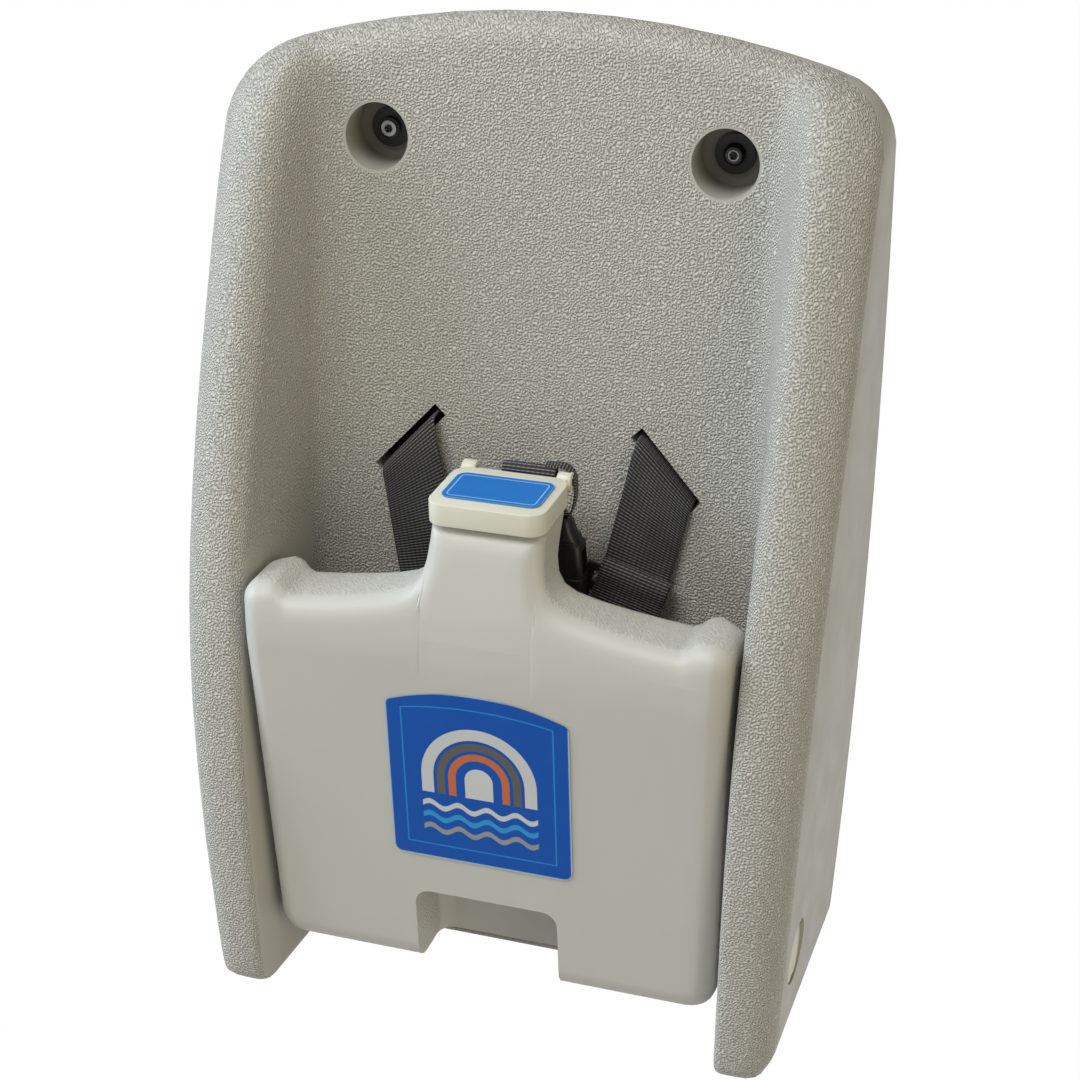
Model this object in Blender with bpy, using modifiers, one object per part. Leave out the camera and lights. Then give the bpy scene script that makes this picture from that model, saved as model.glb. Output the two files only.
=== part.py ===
"""Wall mounted fold-down child seat.

X runs across the seat, Y runs into the wall and Z runs up. The origin is on the flat
rear face, in the middle, at the height of the two mounting screws. The seat is folded up.
Heights below are measured from the lowest point of the back shell, and depths are
measured from the wall, so a depth d lies at y = -d.
"""
import math

import bmesh
import bpy
from mathutils import Matrix, Vector

# Back shell outline
body_height = 0.485
body_width = 0.321
body_base_taper = 0.025
widest_height = 0.378
arch_rise = 0.0280
top_corner_radius = 0.035
top_bend_drop = 0.080
base_corner_radius = 0.015
base_edge_round = 0.010
top_edge_round = 0.014
rear_edge_round = 0.0025

# Wings at the two sides of the back shell
wing_depth = 0.1475
wing_width_top = 0.0335
wing_width_base = 0.0400
wing_inner_round_base = 0.005
wing_inner_round_top = 0.020
wing_edge_drop = 0.017
wing_edge_run_base = 0.0105
wing_edge_run_top = 0.0255
wing_wall_run_base = 0.004
wing_wall_run_top = 0.0130
wing_foot_round_base = 0.008
wing_foot_round_top = 0.020
wing_depth_shares = (
    (0.0, 1.0), (0.16, 1.0), (0.243, 0.99), (0.326, 0.968), (0.408, 0.928), (0.491, 0.864),
    (0.573, 0.778), (0.656, 0.678), (0.738, 0.57), (0.82, 0.46), (0.90, 0.335), (0.96, 0.20),
    (1.0, 0.126),
)
edge_drop_share = 0.72
wing_crest_share = 0.9

# Back panel between the wings
panel_depth_top = 0.0175
panel_depth_foot = 0.0665
panel_foot_height = 0.155

# Mounting screws and their counterbores
mount_drop = 0.060
mount_inset = 0.0741
counterbore_radius = 0.0162
counterbore_floor = 0.0060
screw_shank_radius = 0.0032
screw_head_radius = 0.0052
screw_head_height = 0.0032
screw_drive_radius = 0.0022
screw_drive_depth = 0.0016
washer_radius = 0.0098
washer_thickness = 0.0018

# Shoulder strap slots, which run down and out
slot_inner_x = 0.0505
slot_outer_x = 0.0820
slot_inner_height = 0.2950
slot_outer_height = 0.2613
slot_width = 0.0077

# Pocket in the rear of the back shell, where the shoulder straps are anchored
pocket_half_width = 0.098
pocket_top = 0.316
pocket_base = 0.206
pocket_depth = 0.034
pocket_round = 0.010
pocket_lid_thickness = 0.0020
pocket_lid_rim = 0.0080
pocket_lid_corner = 0.0120
anchor_bar_radius = 0.0040
anchor_bar_rise = 0.030
anchor_bar_depth = 0.0160
anchor_bar_seat = 0.0080

# Fold-down seat
pivot_depth = 0.104
pivot_height = 0.054
seat_bottom = 0.026
seat_shoulder_height = 0.2275
seat_gap_base = 0.0050
seat_gap_top = 0.0033
seat_front_base = 0.1330
seat_front_top = 0.1415
seat_roll_height = 0.205
seat_corner_base = 0.014
seat_corner_top = 0.009
seat_front_round = 0.010
seat_rear_round = 0.008
seat_rear_base = 0.0910
seat_rear_top = 0.1000
seat_bend_height = 0.195
rail_rise = 0.0050
rail_half_width = 0.0110
rail_inset = 0.0150
ear_rise = 0.0050

# Saddle horn at the free end of the seat
horn_width = 0.0560
horn_top = 0.2710
horn_front_top = 0.1245
horn_rear_base = 0.1035
horn_rear_top = 0.0810

# Cap on the horn
cap_height = 0.0110
cap_width = 0.0580
cap_length = 0.0455
cap_corner = 0.0085
cap_edge_round = 0.0022
lug_radius = 0.0048
lug_width = 0.0075
lug_reach = 0.0050
crotch_pin_radius = 0.0020
label_width = 0.0490
label_length = 0.0290
label_corner = 0.0050
label_thickness = 0.0004

# Arched sign on the seat front
sign_width = 0.0930
sign_height = 0.0975
sign_arch_rise = 0.0090
sign_base_height = 0.0945
sign_corner_top = 0.0040
sign_corner_base = 0.0055
sign_thickness = 0.0004

# Hand notch in the lower edge of the seat
notch_width = 0.0750
notch_top = 0.0720
notch_depth = 0.0335
notch_round = 0.0080

# Hinge hardware, the same on both sides
pin_radius = 0.0060
pin_head_radius = 0.0110
pin_head_thickness = 0.0040
bush_wall = 0.0025
bush_length = 0.0230
hinge_washer_radius = 0.0120
hinge_washer_thickness = 0.0018
hinge_boss_radius = 0.0145
hinge_boss_length = 0.0275
hinge_wing_width = 0.0349
side_cap_radius = 0.0165
side_cap_thickness = 0.0030
side_cap_dome = 0.0008
side_cap_inset = 0.0010
side_cap_notch = 0.0030

# Stop ledge that carries the open seat
ledge_height = 0.0440
ledge_round = 0.0060

# Shoulder straps
webbing_width = 0.0340
webbing_thickness = 0.0016
strap_loop_height = 0.0150
strap_lean = 0.0270
strap_standoff = 0.0042
strap_turn = 0.0036
strap_end_fold = 0.0130

# Crotch strap and buckle socket
crotch_webbing_width = 0.0270
crotch_offset = 0.0062
crotch_tuck = 0.0110
buckle_width = 0.0420
buckle_length = 0.0440
buckle_thickness = 0.0130
buckle_round = 0.0028
buckle_offset = 0.0130
buckle_top_height = 0.2600
buckle_clearance = 0.0010
buckle_wall = 0.0030
buckle_mouth_depth = 0.0300
buckle_window_length = 0.0120
buckle_seam = 0.0005
buckle_seam_width = 0.0012

# Strap adjusters and the loose tails on them
adjuster_width = 0.0410
adjuster_shift = 0.0033
adjuster_length = 0.0230
adjuster_thickness = 0.0026
adjuster_bar = 0.0040
adjuster_round = 0.0008
adjuster_right_height = 0.2165
adjuster_left_height = 0.1990
tail_thickness = 0.0012
tail_length = 0.0330

# Harness tongue
tongue_width = 0.1240
tongue_height = 0.0300
tongue_thickness = 0.0040
tongue_round = 0.0012
tongue_top_height = 0.1540
tongue_bar = 0.0055
tongue_window_height = 0.0075
prong_width = 0.0060
prong_length = 0.0260
prong_spacing = 0.0260
prong_hook = 0.0030

# Clearances
touch_gap = 0.0003
cut_overrun = 0.0020
weld_distance = 0.00001

# Sizes that follow from the ones above
body_base_width = body_width - body_base_taper
anchor_bar_height = pocket_base + anchor_bar_rise
arch_radius = (body_width / 2) ** 2 / (2 * arch_rise) + arch_rise / 2
ledge_depth = pivot_depth - (pivot_height - seat_bottom) - touch_gap
mount_height = body_height - mount_drop
mount_spacing = body_width - 2 * mount_inset
top_bend_height = body_height - top_bend_drop
wing_inner_width_top = body_width - 2 * wing_width_top
wing_inner_width_base = body_width - 2 * wing_width_base
slot_x = (slot_inner_x + slot_outer_x) / 2
slot_height = (slot_inner_height + slot_outer_height) / 2
slot_length = math.hypot(slot_outer_x - slot_inner_x, slot_inner_height - slot_outer_height)
slot_angle = math.atan2(slot_inner_height - slot_outer_height, slot_outer_x - slot_inner_x)
seat_lean = math.atan2(seat_front_top - seat_front_base, seat_roll_height - seat_bottom)

# Looks of the materials, as colour, roughness and metallic value
shell_look = ((0.62, 0.59, 0.52), 0.55, 0.0)
seat_look = ((0.64, 0.62, 0.56), 0.42, 0.0)
cap_look = ((0.78, 0.75, 0.66), 0.38, 0.0)
label_look = ((0.02, 0.19, 0.62), 0.35, 0.0)
webbing_look = ((0.07, 0.07, 0.08), 0.8, 0.0)
black_look = ((0.01, 0.01, 0.011), 0.4, 0.0)
steel_look = ((0.6, 0.6, 0.6), 0.35, 1.0)
bush_look = ((0.7, 0.7, 0.66), 0.5, 0.0)


def clear_scene():
    """Remove every object that the file holds."""
    for item in list(bpy.data.objects):
        bpy.data.objects.remove(item, do_unlink=True)


clear_scene()
parts = bpy.data.collections.new("wall_mounted_child_seat")
cutters = bpy.data.collections.new("cutters")
bpy.context.scene.collection.children.link(parts)
bpy.context.scene.collection.children.link(cutters)


def make_carrier(name, place, parent=None, parent_place=(0, 0, 0)):
    """Make an empty that carries pieces. Its place is in shell coordinates."""
    carrier = bpy.data.objects.new(name, None)
    parts.objects.link(carrier)
    carrier.parent = parent
    carrier.location = Vector(place) - Vector(parent_place)
    return carrier, Vector(place)


body_carrier = make_carrier("body_frame", (0, 0, 0))
body_carrier[0].location = (0, 0, -mount_height)
seat_carrier = make_carrier(
    "seat_frame", (0, -pivot_depth, pivot_height), body_carrier[0], body_carrier[1]
)


def make_material(name, look):
    """Make a plain material from a colour, a roughness and a metallic value."""
    if name in bpy.data.materials:
        return bpy.data.materials[name]
    colour, roughness, metallic = look
    material = bpy.data.materials.new(name)
    material.use_nodes = True
    shader = material.node_tree.nodes["Principled BSDF"]
    shader.inputs["Base Color"].default_value = (*colour, 1.0)
    shader.inputs["Roughness"].default_value = roughness
    shader.inputs["Metallic"].default_value = metallic
    material.diffuse_color = (*colour, 1.0)
    return material


def finish_piece(item, name, look, carrier, place=(0, 0, 0)):
    """Name a piece, dress it, put it in the parts collection and on its carrier."""
    item.name = name
    item.data.name = name
    item.data.materials.clear()
    item.data.materials.append(make_material(name + "_finish", look))
    for home in list(item.users_collection):
        home.objects.unlink(item)
    parts.objects.link(item)
    item.parent = carrier[0]
    item.location = Vector(place) - carrier[1]
    item.data.shade_smooth()
    item.data.set_sharp_from_angle(angle=math.radians(35))
    return item


def finish_cutter(item, name, carrier, place=(0, 0, 0)):
    """Put a cutter in its own collection, as a hidden wire shape on a carrier."""
    item.name = name
    for home in list(item.users_collection):
        home.objects.unlink(item)
    cutters.objects.link(item)
    item.parent = carrier[0]
    item.location = Vector(place) - carrier[1]
    item.hide_render = True
    item.display_type = "WIRE"
    return item


def apply_boolean(target, tool, operation):
    """Cut a tool out of a target, or join it on, with an exact Boolean."""
    change = target.modifiers.new(operation.lower() + "_" + tool.name, "BOOLEAN")
    change.operation = operation
    change.solver = "EXACT"
    change.object = tool


def object_from(bm, name):
    """Turn a bmesh into an object whose faces point out."""
    bmesh.ops.recalc_face_normals(bm, faces=bm.faces)
    mesh = bpy.data.meshes.new(name)
    bm.to_mesh(mesh)
    bm.free()
    return bpy.data.objects.new(name, mesh)


def cylinder(name, radius, length, axis, sides=40):
    """A cylinder centred on its origin, along X or Y."""
    bm = bmesh.new()
    bmesh.ops.create_cone(
        bm, cap_ends=True, segments=sides, radius1=radius, radius2=radius, depth=length
    )
    turns = {"X": Matrix.Rotation(math.pi / 2, 4, "Y"),
             "Y": Matrix.Rotation(math.pi / 2, 4, "X")}
    bmesh.ops.transform(bm, matrix=turns[axis], verts=bm.verts)
    return object_from(bm, name)


def block(name, size, bevel=0, segments=3):
    """A box centred on its origin, with rounded edges where a bevel is given."""
    bm = bmesh.new()
    bmesh.ops.create_cube(bm, size=1)
    bmesh.ops.scale(bm, vec=size, verts=bm.verts)
    if bevel:
        bmesh.ops.bevel(
            bm, geom=bm.edges[:], offset=bevel, segments=segments, profile=0.5,
            affect="EDGES",
        )
    return object_from(bm, name)


def turned(name, profile, axis, sides=40):
    """A turned solid from (radius, height) points that run from top to bottom."""
    mesh = bpy.data.meshes.new(name)
    points = [(radius, 0, height) for radius, height in profile]
    edges = [(k, k + 1) for k in range(len(points) - 1)]
    mesh.from_pydata(points, edges, [])
    item = bpy.data.objects.new(name, mesh)
    bpy.context.scene.collection.objects.link(item)
    screw = item.modifiers.new("turn", "SCREW")
    screw.axis = "Z"
    screw.steps = sides
    screw.render_steps = sides
    screw.use_merge_vertices = True
    screw.merge_threshold = weld_distance
    bpy.context.view_layer.update()
    source = item.evaluated_get(bpy.context.evaluated_depsgraph_get())
    solid = bpy.data.meshes.new_from_object(source)
    bpy.data.objects.remove(item, do_unlink=True)
    bm = bmesh.new()
    bm.from_mesh(solid)
    bmesh.ops.remove_doubles(bm, verts=bm.verts, dist=weld_distance)
    turns = {"X": Matrix.Rotation(math.pi / 2, 4, "Y"),
             "-X": Matrix.Rotation(-math.pi / 2, 4, "Y"),
             "-Y": Matrix.Rotation(math.pi / 2, 4, "X")}
    bmesh.ops.transform(bm, matrix=turns[axis], verts=bm.verts)
    return object_from(bm, name)


def flat_outline(name, points, thickness):
    """A flat plate in XY from an outline, centred on Z = 0."""
    curve = bpy.data.curves.new(name, "CURVE")
    curve.dimensions = "2D"
    curve.fill_mode = "BOTH"
    curve.extrude = thickness / 2
    spline = curve.splines.new("POLY")
    spline.points.add(len(points) - 1)
    for point, (x, y) in zip(spline.points, points):
        point.co = (x, y, 0, 1)
    spline.use_cyclic_u = True
    item = bpy.data.objects.new(name, curve)
    bpy.context.scene.collection.objects.link(item)
    bpy.context.view_layer.update()
    source = item.evaluated_get(bpy.context.evaluated_depsgraph_get())
    solid = bpy.data.meshes.new_from_object(source)
    bpy.data.objects.remove(item, do_unlink=True)
    bm = bmesh.new()
    bm.from_mesh(solid)
    bmesh.ops.remove_doubles(bm, verts=bm.verts, dist=weld_distance)
    return object_from(bm, name)


def rounded_rectangle(width, length, radius, steps=5):
    """Outline points of a rectangle with round corners, centred on the origin."""
    points = []
    centres = ((1, 1, 0), (-1, 1, 90), (-1, -1, 180), (1, -1, 270))
    for right, up, start in centres:
        for step in range(steps + 1):
            angle = math.radians(start + 90 * step / steps)
            x = right * (width / 2 - radius) + radius * math.cos(angle)
            y = up * (length / 2 - radius) + radius * math.sin(angle)
            points.append((x, y))
    return points


def loft(name, sections):
    """A solid through closed sections that all have the same number of points."""
    bm = bmesh.new()
    rings = [[bm.verts.new(point) for point in section] for section in sections]
    count = len(rings[0])
    for low, high in zip(rings, rings[1:]):
        for k in range(count):
            follow = (k + 1) % count
            bm.faces.new((low[k], low[follow], high[follow], high[k]))
    bm.faces.new(rings[0][::-1])
    bm.faces.new(rings[-1])
    return object_from(bm, name)


def blend(low, high, share):
    """The value at a share of the way from low to high."""
    return low + (high - low) * share


def clamp_share(share):
    """A share held between nought and one."""
    return max(0.0, min(1.0, share))


def smooth_lookup(shares, place):
    """A smooth curve through a table of (place, value) pairs."""
    if place <= shares[0][0]:
        return shares[0][1]
    if place >= shares[-1][0]:
        return shares[-1][1]
    last = len(shares) - 1
    k = max(n for n in range(last) if shares[n][0] <= place)

    def slope(n):
        before = shares[max(n - 1, 0)]
        after = shares[min(n + 1, last)]
        return (after[1] - before[1]) / (after[0] - before[0])

    (x0, y0), (x1, y1) = shares[k], shares[k + 1]
    step = x1 - x0
    t = (place - x0) / step
    return (
        y0 * (2 * t ** 3 - 3 * t ** 2 + 1)
        + slope(k) * step * (t ** 3 - 2 * t ** 2 + t)
        + y1 * (3 * t ** 2 - 2 * t ** 3)
        + slope(k + 1) * step * (t ** 3 - t ** 2)
    )


def round_drop(distance, run, drop):
    """How far a rounded edge falls away at a distance from the outline."""
    if distance >= run:
        return 0.0
    share = 1 - max(distance, 0) / run
    return drop * (1 - math.sqrt(max(0.0, 1 - share * share)))


class Outline:
    """Front outline of a plate, with straight sides, round corners and a shaped top."""

    def __init__(self, half_width, top, base, top_radius, base_radius,
                 top_centre, top_tangent, top_bend, base_bend):
        self.half_width = half_width
        self.plain_top = top
        self.base = base
        self.top_radius = top_radius
        self.base_radius = base_radius
        self.top_centre = top_centre
        self.top_tangent = top_tangent
        self.top_bend = top_bend
        self.base_bend = base_bend
        self.base_centre = (half_width(base + base_radius) - base_radius, base + base_radius)
        half_root = math.sqrt(0.5)
        self.top_mid = top_centre[1] + top_radius * half_root
        self.base_mid = self.base_centre[1] - base_radius * half_root
        self.top_reach = top_centre[0] + top_radius * half_root
        self.base_reach = self.base_centre[0] + base_radius * half_root

    def edge(self, height):
        """Half width at a height, with the corners."""
        if height > self.top_centre[1]:
            rise = height - self.top_centre[1]
            return self.top_centre[0] + math.sqrt(max(0.0, self.top_radius ** 2 - rise ** 2))
        if height < self.base_centre[1]:
            fall = self.base_centre[1] - height
            return self.base_centre[0] + math.sqrt(max(0.0, self.base_radius ** 2 - fall ** 2))
        return self.half_width(height)

    def top(self, x):
        """Height of the upper edge."""
        if x > self.top_tangent:
            reach = x - self.top_centre[0]
            return self.top_centre[1] + math.sqrt(max(0.0, self.top_radius ** 2 - reach ** 2))
        return self.plain_top(x)

    def bottom(self, x):
        """Height of the lower edge."""
        if x > self.base_centre[0]:
            reach = x - self.base_centre[0]
            return self.base_centre[1] - math.sqrt(max(0.0, self.base_radius ** 2 - reach ** 2))
        return self.base

    def grid(self, columns, base_shares, heights, top_shares):
        """Rows of (column, x, height, unbent height) over the right half."""
        rows = []
        levels = [("base", share) for share in base_shares]
        levels += [("body", height) for height in heights]
        levels += [("top", share) for share in top_shares]
        for kind, value in levels:
            if kind == "base":
                side = blend(self.base_mid, self.base_bend, value)
                radius = self.base_radius
            elif kind == "top":
                side = blend(self.top_bend, self.top_mid, value)
                radius = self.top_radius
            else:
                side = value
                radius = self.base_radius
            width = self.half_width(side)
            pull = width - self.edge(side)
            row = []
            for number, plain_x in enumerate(columns(side)):
                inset = width - plain_x
                x = plain_x - pull * max(0.0, 1 - inset / radius)
                height = side
                if kind == "base":
                    height = blend(self.bottom(min(x, self.base_reach)), self.base_bend, value)
                if kind == "top":
                    height = blend(self.top_bend, self.top(min(x, self.top_reach)), value)
                row.append((number, x, height, side))
            rows.append(row)
        return rows


def rear_rings(bm, rim):
    """Rings of points that round the rear edge of a plate down to the wall."""
    rings = []
    for angle in rear_edge_angles:
        turn = math.radians(angle)
        inset = rear_edge_round * (1 - math.cos(turn))
        depth = rear_edge_round * (1 - math.sin(turn))
        ring = []
        for k, point in enumerate(rim):
            along = rim[(k + 1) % len(rim)].co - rim[k - 1].co
            inward = Vector((-along.z, 0, along.x)).normalized() * inset
            ring.append(bm.verts.new((point.co.x + inward.x, -depth, point.co.z + inward.z)))
        rings.append(ring)
    return rings


def plate(name, rows, front, rear=None):
    """A solid over a grid and its mirror image, from a front and a rear depth.

    Without a rear depth the rear is one flat face on the wall, with a round edge.
    """
    bm = bmesh.new()

    def full_rows(depth_at):
        grid = []
        for row in rows:
            right = []
            left = []
            for number, x, height, side in row:
                depth = depth_at(number, x, height, side)
                right.append(bm.verts.new((x, -depth, height)))
                if x > 0:
                    left.append(bm.verts.new((-x, -depth, height)))
            grid.append(left + right[::-1])
        return grid

    def fill(grid):
        for low, high in zip(grid, grid[1:]):
            for k in range(len(low) - 1):
                bm.faces.new((low[k], low[k + 1], high[k + 1], high[k]))

    def rim_of(grid):
        low = grid[0]
        high = grid[-1][::-1]
        right = [row[-1] for row in grid[1:-1]]
        left = [row[0] for row in grid[-2:0:-1]]
        return low + right + high + left

    face = full_rows(front)
    fill(face)
    rings = [rim_of(face)]
    if rear is None:
        rings += rear_rings(bm, rings[0])
        bm.faces.new(rings[-1])
    else:
        back = full_rows(rear)
        fill(back)
        rings.append(rim_of(back))
    count = len(rings[0])
    for outer, inner in zip(rings, rings[1:]):
        for k in range(count):
            follow = (k + 1) % count
            bm.faces.new((outer[k], outer[follow], inner[follow], inner[k]))
    return object_from(bm, name)


# Back shell

def shell_half_width(height):
    """Half width of the back shell, which swells to its widest height."""
    away = (height - widest_height) / widest_height
    return (body_width - (body_width - body_base_width) * away * away) / 2


def shell_arch(x):
    """Height of the arched top edge."""
    return body_height - arch_radius + math.sqrt(arch_radius ** 2 - x ** 2)


def panel_depth(height):
    """Depth of the back panel, which leans back up to the top."""
    lean = (panel_depth_foot - panel_depth_top) / (body_height - panel_foot_height)
    return panel_depth_foot - lean * max(0.0, height - panel_foot_height)


def floor_depth(height):
    """Depth between the wings, with the stop ledge at the foot of the panel."""
    plain = panel_depth(height)
    if height >= ledge_height:
        return plain
    rise = clamp_share((ledge_height - height) / ledge_round)
    return blend(plain, ledge_depth, math.sqrt(1 - (1 - rise) ** 2))


def wing_front(height):
    """Depth of the front of the wings."""
    return wing_depth * smooth_lookup(wing_depth_shares, height / body_height)


def wing_shape(height):
    """Front depth, edge run, inner half width and wall run of a wing."""
    share = clamp_share(height / body_height)
    climb = clamp_share(height / (panel_foot_height * 2))
    run = blend(wing_edge_run_base, wing_edge_run_top, share)
    inner = blend(wing_inner_width_base, wing_inner_width_top, climb) / 2
    wall_share = clamp_share((height - panel_foot_height) / panel_foot_height)
    wall = blend(wing_wall_run_base, wing_wall_run_top, wall_share)
    return wing_front(height), run, inner, wall


def wing_rounds(height, slope):
    """Radius at the inner edge and at the foot of a wing wall, both softer upwards."""
    share = clamp_share((height - panel_foot_height) / (body_height - panel_foot_height))
    edge = blend(wing_inner_round_base, wing_inner_round_top, share)
    foot = blend(wing_foot_round_base, wing_foot_round_top, share)
    top, run, inner, wall = wing_shape(height)
    reach = math.tan(slope / 2)
    crest = shell_half_width(height) - run - inner
    edge = min(edge, crest * wing_crest_share / reach)
    length = math.hypot(wall, top - floor_depth(height))
    fit = min(1.0, length / ((edge + foot) * reach))
    return edge * fit, foot * fit


shell_base_shares = (0.0, 0.04, 0.15, 0.30, 0.5, 1.0)
shell_top_shares = (0.0, 0.22, 0.42, 0.58, 0.71, 0.81, 0.89, 0.95, 0.985, 1.0)
ledge_row_shares = (1.0, 0.6, 0.2, 0.03, 0.0)
foot_row_shares = (0.35, 0.7, 1.0)
base_bend_share = 1.33
edge_angles = (0, 16, 34, 58, 90)
rear_edge_angles = (0, 45, 90)
corner_shares = (0.0, 0.25, 0.5, 0.75, 1.0)
panel_shares = (0.78, 0.5, 0.25, 0.0)


def wing_profile(height):
    """Points (x, depth, depth before the outer edge is rounded) from edge to middle."""
    half = shell_half_width(height)
    top, run, inner, wall = wing_shape(height)
    floor = floor_depth(height)
    slope = math.atan2(top - floor, wall)
    edge, foot = wing_rounds(height, slope)
    crest_x = inner + edge * math.tan(slope / 2)
    foot_x = inner - wall - foot * math.tan(slope / 2)
    drop = min(wing_edge_drop, top * edge_drop_share)
    points = []
    for angle in edge_angles:
        turn = math.radians(angle)
        points.append((half - run * (1 - math.cos(turn)), top - drop * (1 - math.sin(turn)), top))
    points.append(((half - run + crest_x) / 2, top, top))
    for share in corner_shares:
        turn = slope * share
        depth = top - edge * (1 - math.cos(turn))
        points.append((crest_x - edge * math.sin(turn), depth, depth))
    for share in corner_shares[::-1]:
        turn = slope * share
        depth = floor + foot * (1 - math.cos(turn))
        points.append((foot_x + foot * math.sin(turn), depth, depth))
    for share in panel_shares:
        points.append((foot_x * share, floor, floor))
    return points


def shell_outline():
    """The outline of the back shell."""
    radius = top_corner_radius
    centre_x = shell_half_width(top_bend_height) - radius
    arch_centre = body_height - arch_radius
    reach = arch_radius - radius
    centre_height = arch_centre + math.sqrt(reach ** 2 - centre_x ** 2)
    tangent = centre_x * arch_radius / reach
    return Outline(
        shell_half_width, shell_arch, 0.0, radius, base_corner_radius,
        (centre_x, centre_height), tangent, top_bend_height, base_corner_radius * base_bend_share,
    )


def edge_distance(outline, x, height):
    """Distance to the top edge of an outline."""
    if x > outline.top_tangent:
        reach = math.hypot(x - outline.top_centre[0], height - outline.top_centre[1])
        if height > outline.top_centre[1]:
            return outline.top_radius - reach
    return outline.top(x) - height


def make_back_shell():
    """The moulded back: wings, leaning panel, screw wells, strap slots and hinge seats."""
    outline = shell_outline()
    heights = [ledge_height - ledge_round * fall for fall in ledge_row_shares]
    heights += [blend(ledge_height, panel_foot_height, share) for share in foot_row_shares]
    rise = top_bend_height - panel_foot_height
    heights += [panel_foot_height + rise * step / 9 for step in range(1, 9)]

    def columns(height):
        return [point[0] for point in wing_profile(height)]

    rows = outline.grid(columns, shell_base_shares, heights, shell_top_shares)

    def front(number, x, height, side):
        depth, plain = wing_profile(height)[number][1:]
        drop = min(wing_edge_drop, plain * edge_drop_share)
        top = plain - round_drop(edge_distance(outline, x, height), top_edge_round, drop)
        low = plain - round_drop(height - outline.bottom(x), base_edge_round, base_edge_round)
        return min(depth, top, low)

    shell = plate("back_shell", rows, front)
    finish_piece(shell, "back_shell", shell_look, body_carrier)
    for side, word in ((-1, "left"), (1, "right")):
        cut_screw_well(shell, side, word)
        cut_strap_slot(shell, side, word)
        cut_hinge_seat(shell, side, word)
    cut_strap_pocket(shell)
    return shell


def cut_screw_well(shell, side, word):
    """A deep well with a flat floor, and the hole for the mounting screw."""
    front = wing_depth
    length = front - counterbore_floor
    well = cylinder("screw_well_" + word, counterbore_radius, length, "Y", sides=48)
    x = side * mount_spacing / 2
    place = (x, -(front + counterbore_floor) / 2, mount_height)
    finish_cutter(well, "screw_well_" + word, body_carrier, place)
    apply_boolean(shell, well, "DIFFERENCE")
    length = counterbore_floor + 2 * cut_overrun
    hole = cylinder("screw_hole_" + word, screw_shank_radius + touch_gap, length, "Y", sides=24)
    place = (x, -counterbore_floor / 2, mount_height)
    finish_cutter(hole, "screw_hole_" + word, body_carrier, place)
    apply_boolean(shell, hole, "DIFFERENCE")


def cut_strap_slot(shell, side, word):
    """A slanted slot through the panel into the rear pocket."""
    front = panel_depth_foot + cut_overrun
    back = pocket_depth - cut_overrun
    size = (slot_length, front - back, slot_width)
    slot = block("strap_slot_" + word, size)
    slot.rotation_euler = (0, side * slot_angle, 0)
    place = (side * slot_x, -(front + back) / 2, slot_height)
    finish_cutter(slot, "strap_slot_" + word, body_carrier, place)
    apply_boolean(shell, slot, "DIFFERENCE")


def cut_strap_pocket(shell):
    """The rear pocket that holds the anchored ends of the shoulder straps."""
    depth = pocket_depth + cut_overrun + pocket_round
    height = pocket_top - pocket_base
    pocket = block("strap_pocket", (2 * pocket_half_width, depth, height), pocket_round)
    place = (0, depth / 2 - pocket_depth, (pocket_top + pocket_base) / 2)
    finish_cutter(pocket, "strap_pocket", body_carrier, place)
    apply_boolean(shell, pocket, "DIFFERENCE")
    length = 2 * (pocket_half_width + anchor_bar_seat)
    seat = cylinder("anchor_bar_seat", anchor_bar_radius + touch_gap, length, "X", sides=24)
    place = (0, -anchor_bar_depth, anchor_bar_height)
    finish_cutter(seat, "anchor_bar_seat", body_carrier, place)
    apply_boolean(shell, seat, "DIFFERENCE")


def make_pocket_lid(shell):
    """The flush lid on the rear pocket, and the rebate that it sits in."""
    width = 2 * (pocket_half_width + pocket_lid_rim)
    height = pocket_top - pocket_base + 2 * pocket_lid_rim
    level = (pocket_top + pocket_base) / 2
    fit = 2 * touch_gap
    corner = pocket_lid_corner
    outline = rounded_rectangle(width, height, corner)
    depth = pocket_lid_thickness + 2 * touch_gap
    rebate = flat_outline("lid_rebate", outline, 2 * depth)
    rebate.rotation_euler = (math.pi / 2, 0, 0)
    finish_cutter(rebate, "lid_rebate", body_carrier, (0, 0, level))
    apply_boolean(shell, rebate, "DIFFERENCE")
    outline = rounded_rectangle(width - fit, height - fit, corner - touch_gap)
    lid = flat_outline("pocket_lid", outline, pocket_lid_thickness)
    lid.rotation_euler = (math.pi / 2, 0, 0)
    middle = touch_gap + pocket_lid_thickness / 2
    finish_piece(lid, "pocket_lid", black_look, body_carrier, (0, -middle, level))


side_face = shell_half_width(pivot_height)
hinge_boss_face = side_face - hinge_wing_width
cap_outer_x = side_face - side_cap_inset
head_outer_x = cap_outer_x - side_cap_thickness - touch_gap
wing_spot_x = hinge_boss_face + hinge_washer_thickness + 2 * touch_gap
cap_dome_shares = ((0.45, 0.2), (0.8, 0.6))


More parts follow.
